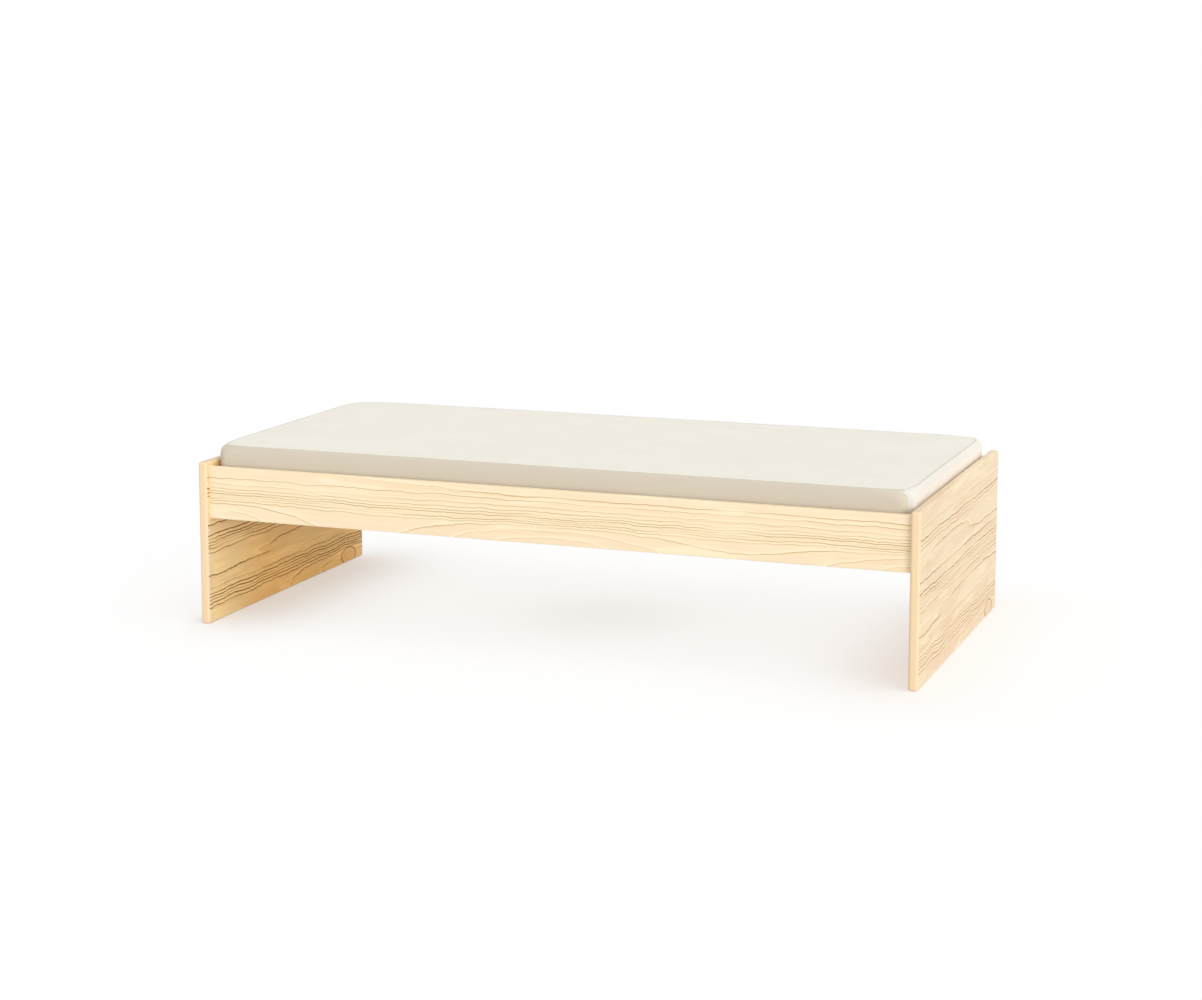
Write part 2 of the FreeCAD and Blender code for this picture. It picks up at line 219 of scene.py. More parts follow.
# A figure says how the growth lines run. Heights are across the grain. Each bundle is the middle
# and half width of a close set of lines and how many lines it has. Each arch is its place along
# and across the grain, its half length and half height, and how many lines bow round it, over it
# where that is below nought. Each knot is its place, half length and half height.
BOARD_FIGURE = {
    "axes": ("Y", "Z", "X"),
    "seed": 3.1,
    "start": 0.45,
    "slope": 6.0,
    "swell": 1.2,
    "wave": 8 * MM,
    "ripple": 24 * MM,
    "slant": 0.0,
    "bundles": (
        (0.072, 0.034, 5.0),
        (0.132, 0.014, 1.3),
        (0.228, 0.036, 5.2),
        (0.290, 0.030, 1.6),
        (0.376, 0.022, 2.6),
        (0.420, 0.016, 0.9),
    ),
    "arches": (
        (-0.150, 0.325, 0.330, 0.034, -1.1),
        (0.250, 0.156, 0.520, 0.028, -1.1),
        (0.395, 0.014, 0.300, 0.040, -2.2),
    ),
    "knots": ((0.385, 0.022, 0.049, 0.024),),
    "line_width": 5.0 * MM,
}
RAIL_FIGURE = {
    "axes": ("X", "Z", "Y"),
    "seed": 7.7,
    "start": 0.2,
    "slope": 10.0,
    "swell": 1.6,
    "wave": 6 * MM,
    "ripple": 20 * MM,
    "slant": 0.0,
    "bundles": ((0.4215, 0.010, 1.0), (0.400, 0.014, 1.2), (0.368, 0.027, 5.2)),
    "arches": (
        (-1.120, 0.300, 0.300, 0.050, -3.0),
        (0.010, 0.300, 0.300, 0.050, -3.0),
        (1.120, 0.300, 0.300, 0.050, -3.0),
    ),
    "knots": (),
    "line_width": 3.2 * MM,
}
LEDGER_FIGURE = dict(RAIL_FIGURE, seed=12.4, slope=60.0, swell=5.0, bundles=(), arches=())
SLAT_FIGURE = {
    "axes": ("Y", "X", "Z"),
    "seed": 21.9,
    "start": 0.0,
    "slope": 70.0,
    "swell": 14.0,
    "wave": 20 * MM,
    "ripple": 10 * MM,
    "slant": 0.5,
    "bundles": (),
    "arches": (),
    "knots": (),
    "line_width": 2.4 * MM,
}
GRADIENT_STEP = 0.5 * MM
FINE_RINGS = 3.0  # faint lines to each clear one
FINE_DEPTH = 0.28  # a faint line's depth beside a clear one's
END_LINES = 0.08  # how much of the lines is left on end grain
FACE_LINES = 0.78  # depth of the lines on a board that has painted shade on its inner faces
LINE_DEPTH_IN_PAINTED_SHADE = 0.70  # and how much is added to it under the bed, as painted shade
CREAM_LIFT = 1.14  # the palest streaks, by the pale tone
PAINTED_SHADE_LINE = (0.80, 0.80, 0.60)  # the lines under the bed are painted deeper by this, as painted shade
PAINTED_SHADE_FRONT = (0.98, 1.11, 1.55)  # and the painted shade there lightens by this towards the front


def ring_count(net, along, across, depth, figure):
    """Growth rings counted across a piece: a smooth wavy field whose whole numbers are the lines."""
    seed = figure["seed"]
    wave = net.cloud(net.vector(along * 1.3, across * 3.0, depth * 3.0 + seed), 1.0)
    ripple = net.cloud(net.vector(along * 10.0, across * 13.0, depth * 5.0 + seed), 4.0, 0.58)
    swell = net.cloud(net.vector(along * 0.7 + seed, across * 7.0, depth * 7.0), 0.0)
    bent = across + wave * figure["wave"] + ripple * figure["ripple"] + depth * figure["slant"]
    rings = bent * figure["slope"] + swell * figure["swell"] + figure["start"]
    for middle, half, lines in figure["bundles"]:
        rings = rings + net.grade(bent, middle - half, middle + half, 0.0, lines)
    for at, height, half_length, half_height, lines in figure["arches"]:
        long_way = (along - at) / half_length
        cross_way = (bent - height) / half_height
        rings = rings + lines * net.bell((long_way * long_way + cross_way * cross_way) * 0.8)
    return rings


def knots_of(net, along, across, figure):
    """The knots' dark outlines and their insides, each one there and nought elsewhere."""
    wobble = net.cloud(net.vector(along * 22.0, across * 30.0, figure["seed"]), 1.0) * 0.35
    outline = inside = None
    for at, height, half_length, half_height in figure["knots"]:
        long_way = (along - at) / half_length
        cross_way = (across - height) / half_height
        reach = (long_way * long_way + cross_way * cross_way) ** 0.5 + wobble
        rim = net.grade(abs(reach - 1.0), 0.02, 0.15, 1.0, 0.0)
        rim = net.most(rim, net.grade(abs(reach - 0.55), 0.02, 0.16, 0.35, 0.0))
        heart = net.grade(reach, 0.92, 1.04, 1.0, 0.0)
        outline = rim if outline is None else net.most(outline, rim)
        inside = heart if inside is None else net.most(inside, heart)
    return outline, inside


def pine(name, figure, pale, warm, blush, line, end=None, inner=None, inner_edge=None, gloss=0.42):
    """Pine with growth lines that are sharp on one side, fibres, mottling and plainer end grain."""
    material, net = new_material(name)
    place = net.add("ShaderNodeTexCoord", output="Object")
    facing = net.split(place.output("Normal"))
    spots = dict(zip("XYZ", net.split(place)))
    faces = dict(zip("XYZ", facing))
    along, across, depth = (spots[axis] for axis in figure["axes"])
    if inner_edge is not None:
        depth = abs(depth)
    rings = ring_count(net, along, across, depth, figure)
    over = ring_count(net, along, across + GRADIENT_STEP, depth, figure) - rings
    on = ring_count(net, along + GRADIENT_STEP, across, depth, figure) - rings
    steep = (over * over + on * on) ** 0.5 / GRADIENT_STEP
    crowding = net.most(steep, 10.0)
    ring = net.whole(rings)
    late = net.part(rings)
    to_line = (1.0 - late) / crowding
    from_line = late / crowding
    width = figure["line_width"]
    clear = net.grade(steep, 5.0, 22.0)
    thin = net.grade(to_line, 0.35 * width, width, 1.0, 0.0) * clear
    fine_rings = rings * FINE_RINGS
    to_fine = (1.0 - net.part(fine_rings)) / (crowding * FINE_RINGS)
    fine_luck = net.chance(net.whole(fine_rings) + 0.5)
    fine = net.grade(to_fine, 0.0, 2.2 * MM, 1.0, 0.0) * fine_luck * clear
    luck = net.chance(ring + figure["seed"])
    worn = net.cloud(net.vector(along * 3.5, ring * 5.17, depth * 3.0), 1.0)
    strength = (0.35 + 0.65 * luck) * net.grade(worn, -0.22, 0.10, 0.30, 1.0)
    end_grain = net.grade(abs(faces[figure["axes"][0]]), 0.25, 0.75)
    long_grain = 1.0 - end_grain
    lines = net.most(thin * strength, fine * FINE_DEPTH) * (END_LINES + (1 - END_LINES) * long_grain)
    inside = None
    # Under the bed the inner faces get painted shade: deeper lines here, and a darker tint below.
    if inner is not None:
        inside = net.grade(depth, inner_edge[0], inner_edge[0] + 3 * MM, 1.0, 0.0)
        lines = lines * (FACE_LINES + LINE_DEPTH_IN_PAINTED_SHADE * inside)
    shade = net.grade(to_line, 0.0, 12 * MM, 1.0, 0.0) * (0.3 + 0.7 * luck)
    young = net.grade(from_line, 1 * MM, 9 * MM, 1.0, 0.0) * long_grain
    fibre = net.cloud(net.vector(along * 16.0, across * 520.0, depth * 520.0), 2.0, 0.6)
    streak = net.cloud(net.vector(along * 4.0, across * 150.0, depth * 150.0), 3.0, 0.65)
    mottle = net.cloud(net.vector(along * 4.0, across * 20.0, depth * 8.0 + figure["seed"]), 2.0)
    cream = net.cloud(net.vector(along * 5.0 + figure["seed"], across * 34.0, depth * 12.0), 1.0)
    dash = net.grade(
        net.cloud(net.vector(along * 14.0, across * 700.0, depth * 700.0), 1.0), 0.16, 0.26
    )
    colour = net.blend(net.grade(mottle, -0.10, 0.12), opaque(pale), opaque(blush))
    colour = net.blend(shade * 0.6 + net.grade(streak, -0.12, 0.25) * 0.65, colour, opaque(warm))
    light = net.most(young * 0.5, net.grade(cream, 0.08, 0.22) * 0.5)
    colour = net.blend(light, colour, shaded(CREAM_LIFT, pale))
    outline, knot = knots_of(net, along, across, figure) if figure["knots"] else (None, None)
    if knot is not None:
        lines = net.most(lines * (1.0 - knot), outline * 0.7 * long_grain)
        colour = net.blend(knot * 0.5, colour, opaque(warm))
    if end is not None:
        colour = net.blend(end_grain, colour, opaque(end))
    dark = lines * 0.95 + dash * 0.20 * long_grain + net.grade(fibre, 0.02, 0.30) * 0.12
    drawn = opaque(line)
    # The lines under the bed take a deeper colour: painted shade.
    if inner is not None:
        drawn = net.blend(inside, drawn, opaque(tuple(c * share for c, share in zip(line, PAINTED_SHADE_LINE))))
    colour = net.blend(net.grade(dark, 0.0, 1.0, 0.0, 1.0), colour, drawn)
    # Under the bed the inner faces are tinted darker and warmer, which is painted shade; it fades in the
    # strip in front of the rail and lightens towards the front.
    if inner is not None:
        shown = net.grade(abs(along), inner_edge[1] - 20 * MM, inner_edge[1], 1.0, 0.4)
        painted_shade_tint = tuple(under / out for under, out in zip(inner, pale))
        fore = opaque(tuple(c * share for c, share in zip(painted_shade_tint, PAINTED_SHADE_FRONT)))
        painted_shade_tint = net.blend(net.grade(along, -0.42, -0.12), fore, opaque(painted_shade_tint))
        multiply = {"data_type": "RGBA", "blend_type": "MULTIPLY"}
        share = inside * shown * long_grain
        colour = net.add("ShaderNodeMix", multiply, {0: share, 6: colour, 7: painted_shade_tint}, 2)
    height = fibre * 0.35 + thin * strength * 0.5 - dash * 0.15
    rough = gloss + fibre * 0.10 + lines * 0.08
    finish = {"Coat_Weight": 0.08, "Coat_Roughness": 0.25, "Specular_IOR_Level": 0.22}
    close_material(net, colour, rough, height, 0.06 * MM, **finish)
    return material


def beech(name):
    """Plain pinkish beech with its short dark flecks."""
    material, net = new_material(name)
    along, across, depth = net.spot()
    fleck = net.grade(net.cloud(net.vector(along * 260, across * 1500, depth * 1500), 1.0), 0.10, 0.20)
    warmth = net.grade(net.cloud(net.vector(along * 20, across * 160, depth * 160)), -0.2, 0.2)
    colour = net.blend(warmth, opaque(tone(226, 190, 150)), opaque(tone(236, 205, 168)))
    colour = net.blend(fleck * 0.5, colour, opaque(tone(176, 128, 88)))
    close_material(net, colour, 0.55 + warmth * 0.08, fleck * -1.0, 0.05 * MM)
    return material


# --- Metal and plastic -----------------------------------------------------------------------


def plated(name, bright, dull, roughness, metal=1.0, grain=900.0):
    """Plated or cast metal: cloudy, finely pitted and a little duller in patches."""
    material, net = new_material(name)
    x, y, z = net.spot()
    cloudy = net.grade(net.cloud(net.vector(x * 180, y * 180, z * 180), 3.0), -0.2, 0.2)
    pits = net.cloud(net.vector(x * grain, y * grain, z * grain), 2.0)
    colour = net.blend(cloudy, opaque(bright), opaque(dull))
    rough = roughness + cloudy * 0.12 + pits * 0.10
    close_material(net, colour, rough, pits, 0.03 * MM, Metallic=metal)
    return material


def moulded(name, colour):
    """Matt moulded plastic with a fine spark texture."""
    material, net = new_material(name)
    x, y, z = net.spot()
    spark = net.cloud(net.vector(x * 1800, y * 1800, z * 1800), 2.0)
    drift = net.grade(net.cloud(net.vector(x * 60, y * 60, z * 60)), -0.2, 0.2)
    paint = net.blend(drift * 0.3, opaque(colour), shaded(0.88, colour))
    close_material(net, paint, 0.48 + spark * 0.15, spark, 0.04 * MM)
    return material


# --- Cloth and foam --------------------------------------------------------------------------


def threads(net, one, other, pitch):
    """The height of a plain weave, whose threads go over and under by turns."""
    turn = math.pi / pitch
    warp = net.sine(one * turn)
    weft = net.sine(other * turn)
    return warp * warp * 0.5 + weft * weft * 0.5 + warp * weft * 0.35


BORDER_END = 0.16  # where the border's deeper tone gives way to the painted-light end at the right: the X of the surface's normal
BORDER_CURVE = 0.56  # and how much further round it reaches at the foot of the curve


def woven_cover(name, top, border, end, high, pitch):
    """Close-woven cotton: ivory above the seam, and a border below it that is deeper on the long sides
    and paler at the ends; this difference by facing is painted shade and painted light.

    At the right end the border's deeper part ends in a round curve; high is the top of the cover.
    """
    material, net = new_material(name)
    place = net.add("ShaderNodeTexCoord", output="Object")
    x, y, z = net.split(place)
    facing = net.split(place.output("Normal"))
    face_x, face_y, face_z = (abs(part) for part in facing)
    flat = net.grade(face_z, 0.45, 0.85)
    endwise = net.grade(face_x - face_y, -0.2, 0.2)
    weave_flat = threads(net, x, y, pitch)
    weave_side = threads(net, x, z, pitch)
    weave_end = threads(net, y, z, pitch)
    upright = weave_side * (1.0 - endwise) + weave_end * endwise
    weave = weave_flat * flat + upright * (1.0 - flat)
    seam = net.add("ShaderNodeAttribute", {"attribute_name": "seam"}, output="Fac")
    # Towards their foot the ends are painted paler, as painted light, while the pale part reaches less
    # far round the corners there.
    rise = net.grade(z, high - 34 * MM, high - 7 * MM)
    curve = BORDER_END + BORDER_CURVE * (1.0 - rise**3)
    painted_light_end = net.blend(rise, shaded(1.13, end), opaque(end))
    # The ends' round corners are painted deeper: painted shade.
    painted_light_end = net.blend(face_x * face_y * 1.7, painted_light_end, shaded(0.88, end))
    right = net.grade(facing[0] - curve, -0.07, 0.07)
    left = net.grade(facing[0], -0.95, -0.6, 1.0, 0.0)
    colour = net.blend(net.most(right, left), opaque(border), painted_light_end)
    colour = net.blend(net.grade(seam, -0.6 * MM, 0.6 * MM), colour, opaque(top))
    slub_a = net.cloud(net.vector(x * 9.0, y * 240.0, z * 240.0), 2.0)
    slub_b = net.cloud(net.vector(x * 240.0, y * 9.0, z * 12.0), 2.0)
    mottle = net.cloud(net.vector(x * 7.0, y * 7.0, z * 7.0), 3.0)
    shade = net.grade(slub_a + slub_b, -0.25, 0.35) * 0.35 + net.grade(mottle, -0.2, 0.25) * 0.2
    stitch_line = net.grade(abs(seam), 0.2 * MM, 1.2 * MM, 0.35, 0.0)
    # The rolled fold along the long sides is painted darker, as painted shade, and the cloth is a little
    # deeper between the threads, also painted shade.
    fold = net.grade(face_z, 0.15, 0.55) * net.grade(face_z, 0.90, 0.995, 1.0, 0.0)
    sideways = net.grade(face_x, 0.08, 0.30, 1.0, 0.0)
    fold = fold * sideways
    stitch_line = stitch_line * (0.1 + 0.9 * sideways)
    colour = net.blend(shade * 0.32 + (1.0 - weave) * 0.06 + fold * 0.3, colour, shaded(0.90, border))
    colour = net.blend(stitch_line, colour, shaded(0.72, border))
    height = weave * 0.6 + slub_a * 0.5 + slub_b * 0.5
    close_material(net, colour, 0.86 + weave * 0.08, height, 0.12 * MM, Sheen_Weight=0.15)
    return material


def lining(name, colour, pitch):
    """Plain lining cloth in an open weave."""
    material, net = new_material(name)
    x, y, z = net.spot()
    weave = threads(net, x, y, pitch)
    slub = net.cloud(net.vector(x * 14.0, y * 300.0, z * 10.0), 2.0)
    shade = net.grade(slub, -0.2, 0.3) * 0.4 + (1.0 - weave) * 0.35
    paint = net.blend(shade, opaque(colour), shaded(0.74, colour))
    close_material(net, paint, 0.88 + slub * 0.1, weave + slub, 0.15 * MM)
    return material


def open_foam(name, colour):
    """Polyurethane foam: round open cells whose hollows are painted darker, as painted shade."""
    material, net = new_material(name)
    place = net.add("ShaderNodeTexCoord", output="Object")
    cells = net.add("ShaderNodeTexVoronoi", None, {"Vector": place, "Scale": 700.0})
    # The cells' hollows are painted darker: painted shade.
    mouth = net.grade(cells, 0.05, 0.45, 1.0, 0.0)
    x, y, z = net.split(place)
    drift = net.grade(net.cloud(net.vector(x * 5.0, y * 5.0, z * 5.0)), -0.2, 0.2)
    paint = net.blend(drift * 0.25, opaque(colour), shaded(0.92, colour))
    paint = net.blend(mouth * 0.35, paint, shaded(0.62, colour))
    close_material(net, paint, 0.92 - mouth * 0.05, cells, 0.3 * MM)
    return material


def tape(name, colour, pitch):
    """Polyester tape woven in a small chevron across its width."""
    material, net = new_material(name)
    x, y, z = net.spot()
    chevron = abs(net.part(y / (8 * pitch)) - 0.5) * 8.0
    rib = net.sine((x / pitch + chevron) * math.pi)
    yarn = net.sine(y * (2 * math.pi / pitch))
    relief = rib * 0.35 + yarn * 0.15
    shade = net.grade(relief, -0.5, 0.5, 0.5, 0.0)
    paint = net.blend(shade, opaque(colour), shaded(0.72, colour))
    close_material(net, paint, 0.62 + shade * 0.2, relief, 0.12 * MM)
    return material


# --- Mesh helpers ----------------------------------------------------------------------------


def linked(name, data):
    """A new object in the scene."""
    thing = bpy.data.objects.new(name, data)
    bpy.context.scene.collection.objects.link(thing)
    return thing


def evaluated(source):
    """The plain mesh of an object after its modifiers."""
    graph = bpy.context.evaluated_depsgraph_get()
    return bpy.data.meshes.new_from_object(source.evaluated_get(graph))


def new_piece(name, mesh, material, body):
    """A finished piece: its object at the origin, its finish set, riding on its body."""
    piece = linked(name, mesh)
    if not mesh.materials:
        mesh.materials.append(material)
    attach(piece, body)
    return piece


def finish_nodes(names, material):
    """Gives CAD nodes their material."""
    for name in names:
        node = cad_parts[name]
        node.data.materials.clear()
        node.data.materials.append(material)


def smooth(mesh, angle=0.6):
    """Smooth shading with edges sharper than the angle kept."""
    mesh.polygons.foreach_set("use_smooth", [True] * len(mesh.polygons))
    mesh.set_sharp_from_angle(angle=angle)


def solids_of(name):
    """The lowest and highest corner of each separate solid in a CAD node."""
    shape = bmesh.new()
    shape.from_mesh(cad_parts[name].data)
    bmesh.ops.remove_doubles(shape, verts=shape.verts, dist=0.01 * MM)
    waiting = set(shape.verts)
    boxes = []
    while waiting:
        reached = [waiting.pop()]
        for vertex in reached:
            for edge in vertex.link_edges:
                other = edge.other_vert(vertex)
                if other in waiting:
                    waiting.remove(other)
                    reached.append(other)
        places = np.array([vertex.co for vertex in reached])
        boxes.append((Vector(places.min(0)), Vector(places.max(0))))
    shape.free()
    return sorted(boxes, key=lambda box: tuple(round(value, 4) for value in box[0]))


def seats_along(boxes, way_of):
    """Where each fastener starts and the way it points, from its box and a function for the way."""
    seats = []
    for low, high in boxes:
        way = Vector(way_of(low, high))
        middle = (low + high) / 2
        reach = Vector(abs(part) for part in way).dot(high - low) / 2
        seats.append((middle - way * reach, way))
    return seats


def points_mesh(name, seats):
    """Loose points at the seats, each with the turn that brings Z to the seat's own way."""
    mesh = bpy.data.meshes.new(name)
    mesh.from_pydata([tuple(place) for place, way in seats], [], [])
    turns = mesh.attributes.new("turn", "FLOAT_VECTOR", "POINT")
    for item, (place, way) in zip(turns.data, seats):
        item.vector = Vector((0, 0, 1)).rotation_difference(way).to_euler()
    return mesh


def turned(profile, sides, thread=None, flutes=(0, 0.0)):
    """A pin turned about Z from (height, radius) pairs, with its ends closed.

    thread is the pair of heights between which the pin carries a thread, and flutes are how many
    grooves run along it and their depth as a share of the radius.
    """
    shape = bmesh.new()
    mark = shape.verts.layers.float.new("thread")
    rings = []
    for height, radius in profile:
        ring = []
        for step in range(sides):
            turn = 2 * math.pi * step / sides
            reach = radius * (1 - flutes[1] * (0.5 - 0.5 * math.cos(flutes[0] * turn)))
            vertex = shape.verts.new((reach * math.cos(turn), reach * math.sin(turn), height))
            vertex[mark] = 1.0 if thread and thread[0] <= height <= thread[1] else 0.0
            ring.append(vertex)
        rings.append(ring)
    for lower, upper in zip(rings, rings[1:]):
        for step in range(sides):
            nearby = (step + 1) % sides
            shape.faces.new((lower[step], lower[nearby], upper[nearby], upper[step]))
    shape.faces.new(rings[-1])
    bottom = shape.faces.new(list(reversed(rings[0])))
    return shape, bottom


def close_mesh(name, shape):
    """A bmesh made into a mesh with its faces outwards."""
    bmesh.ops.recalc_face_normals(shape, faces=shape.faces)
    mesh = bpy.data.meshes.new(name)
    shape.to_mesh(mesh)
    shape.free()
    return mesh


def cut_cross(shape, face, length, width, depth):
    """Sinks a driver's cross into a flat face that looks along -Z."""
    half_long = length / 2
    half_wide = width / 2
    corners = []
    for turn in range(4):
        spin = Matrix.Rotation(turn * math.pi / 2, 3, "Z")
        for x, y in ((half_long, -half_wide), (half_long, half_wide), (half_wide, half_wide)):
            corners.append(spin @ Vector((x, y, 0)))
    rim = list(face.edges)
    shape.faces.remove(face)
    mouth = [shape.verts.new(corner) for corner in corners]
    floor = [shape.verts.new(corner * 0.8 + Vector((0, 0, depth))) for corner in corners]
    edges = [shape.edges.new((mouth[i], mouth[(i + 1) % 12])) for i in range(12)]
    bmesh.ops.triangle_fill(shape, edges=rim + edges, use_beauty=True)
    for i in range(12):
        nearby = (i + 1) % 12
        shape.faces.new((mouth[i], mouth[nearby], floor[nearby], floor[i]))
    shape.faces.new(floor)


def level(low, high, count):
    """Heights from low to high in even steps."""
    return [low + (high - low) * step / count for step in range(count + 1)]


# --- Geometry Nodes --------------------------------------------------------------------------


def new_tree(name, inputs):
    """A geometry tree with named inputs, its net, and a wire for each input."""
    tree = bpy.data.node_groups.new(name, "GeometryNodeTree")
    tree.interface.new_socket("Geometry", in_out="INPUT", socket_type="NodeSocketGeometry")
    tree.interface.new_socket("Geometry", in_out="OUTPUT", socket_type="NodeSocketGeometry")
    for label, kind in inputs:
        tree.interface.new_socket(label, in_out="INPUT", socket_type="NodeSocket" + kind)
    net = Net(tree)
    entry = net.add("NodeGroupInput")
    wires = {label: entry.output(label) for label, kind in inputs}
    wires["Geometry"] = entry
    return tree, net, wires


def close_tree(net, geometry, material):
    """Ends a tree: instances made real and the material set."""
    real = net.add("GeometryNodeRealizeInstances", None, (geometry,))
    done = net.add("GeometryNodeSetMaterial", None, {"Geometry": real, "Material": material})
    net.add("NodeGroupOutput", None, (done,))


def grown(name, mesh, tree, values):
    """The plain mesh that a tree makes from a starting mesh and its inputs' values."""
    source = linked(name + "_source", mesh)
    modifier = source.modifiers.new("Nodes", "NODES")
    modifier.node_group = tree
    for item in tree.interface.items_tree:
        if item.in_out == "INPUT" and item.name in values:
            modifier[item.identifier] = values[item.name]
    bpy.context.view_layer.update()
    result = evaluated(source)
    source.modifiers.remove(modifier)
    bpy.data.objects.remove(source)
    if not result.polygons:
        raise RuntimeError("the tree %s made no faces for %s" % (tree.name, name))
    result.name = name
    return result


def fastener_tree():
    """Sets a pin at every point, turned its own way, after cutting its thread."""
    inputs = (
        ("Pin", "Object"),
        ("Thread Pitch", "Float"),
        ("Thread Depth", "Float"),
        ("Material", "Material"),
    )
    tree, net, wires = new_tree("fasteners", inputs)
    pin = net.add("GeometryNodeObjectInfo", None, {"Object": wires["Pin"]}).output("Geometry")
    x, y, z = net.split(net.add("GeometryNodeInputPosition"))
    angle = net.math("ARCTAN2", y, x) / (2 * math.pi)
    saw = net.part(z / wires["Thread Pitch"] - angle)
    ridge = 1.0 - abs(saw * 2.0 - 1.0)
    marked = net.add("GeometryNodeInputNamedAttribute", {"data_type": "FLOAT"}, {"Name": "thread"})
    out = ridge * ridge * marked * wires["Thread Depth"]
    away = net.add("ShaderNodeVectorMath", {"operation": "NORMALIZE"}, (net.vector(x, y, 0.0),))
    shift = net.add("ShaderNodeVectorMath", {"operation": "SCALE"}, {"Vector": away, "Scale": out})
    cut = net.add("GeometryNodeSetPosition", None, {"Geometry": pin, "Offset": shift})
    turn = net.add("GeometryNodeInputNamedAttribute", {"data_type": "FLOAT_VECTOR"}, {"Name": "turn"})
    values = {"Points": wires["Geometry"], "Instance": cut, "Rotation": turn}
    close_tree(net, net.add("GeometryNodeInstanceOnPoints", None, values), wires["Material"])
    return tree


def set_out(name, pin_mesh, seats, material, pitch=1.0, depth=0.0):
    """One mesh of the same pin at every seat."""
    smooth(pin_mesh)
    pin = linked(name + "_pin", pin_mesh)
    tree = bpy.data.node_groups.get("fasteners") or fastener_tree()
    values = {"Pin": pin, "Thread Pitch": pitch, "Thread Depth": depth, "Material": material}
    mesh = grown(name, points_mesh(name + "_places", seats), tree, values)
    bpy.data.objects.remove(pin)
    return mesh


def fastened(node, name, way_of, pin_of, material, pitch=1.0, depth=0.0):
    """One piece with a pin at each solid of a CAD node; pin_of makes the pin from a solid's size."""
    boxes = solids_of(node)
    low, high = boxes[0]
    mesh = set_out(name, pin_of(high - low), seats_along(boxes, way_of), material, pitch, depth)
    return new_piece(name, mesh, material, BEDSTEAD)


def into_rail(low, high):
    """The way from the nearer end board into the rail, which is towards the bed's middle."""
    return (-1 if high.x > 0 else 1, 0, 0)


def strap_tree():
    """A woven strap that lies on the slats and sags a little between them."""
    inputs = (
        ("Middle", "Vector"),
        ("Size", "Vector"),
        ("Rib Pitch", "Float"),
        ("Rib Height", "Float"),
        ("Slat Pitch", "Float"),
        ("First Slat", "Float"),
        ("Bearing Share", "Float"),
        ("Sag", "Float"),
        ("Material", "Material"),
    )
    tree, net, wires = new_tree("woven_strap", inputs)
    length, width, height = net.split(wires["Size"])
    across = net.whole(length / wires["Rib Pitch"]) * 4.0 + 1.0
    cube = {"Size": wires["Size"], "Vertices X": across, "Vertices Y": 9, "Vertices Z": 2}
    bar = net.add("GeometryNodeMeshCube", None, cube)
    x, y, z = net.split(net.add("GeometryNodeInputPosition"))
    side = net.grade(abs(y) / width, 0.36, 0.5)
    rib = net.sine(x / wires["Rib Pitch"] * (2 * math.pi)) * wires["Rib Height"]
    upper = net.grade(z, -0.1 * MM, 0.1 * MM, -1.0, 1.0)
    bay = net.part((x - wires["First Slat"]) / wires["Slat Pitch"] + 0.5)
    hang = net.grade(abs(bay - 0.5), wires["Bearing Share"], 0.5) * wires["Sag"]
    lift = upper * (rib * (1.0 - side) - height * 0.22 * side) - hang
    offset = net.vector(0.0, 0.0, lift)
    spine = net.add("GeometryNodeSetPosition", None, {"Geometry": bar, "Offset": offset})
    placed = net.add("GeometryNodeTransform", None, {"Geometry": spine, "Translation": wires["Middle"]})
    flat = net.add("GeometryNodeSetShadeSmooth", None, {"Geometry": placed, "Shade Smooth": False})
    close_tree(net, flat, wires["Material"])
    return tree


# --- Mattress form ---------------------------------------------------------------------------


def grid_lines(half, near_edge, spacing):
    """Lines from -half to half: at the given distances from both ends, then evenly between."""
    inner = half - near_edge[-1]
    count = round(2 * inner / spacing)
    first = [-half + reach for reach in near_edge[:-1]]
    last = [half - reach for reach in reversed(near_edge[:-1])]
    return first + level(-inner, inner, count) + last


def round_corner(x, y, half_x, half_y, radius):
    """A point of a square-cornered sheet moved so that the sheet's corners are round."""
    over_x = (abs(x) - half_x + radius) / radius
    over_y = (abs(y) - half_y + radius) / radius
    if over_x <= 0 or over_y <= 0:
        return x, y
    new_x = half_x - radius + radius * over_x * math.sqrt(1 - over_y * over_y / 2)
    new_y = half_y - radius + radius * over_y * math.sqrt(1 - over_x * over_x / 2)
    return math.copysign(new_x, x), math.copysign(new_y, y)


CORNER_SPREAD = 1.6  # how far from a corner its rounder roll reaches, in radii of the corner


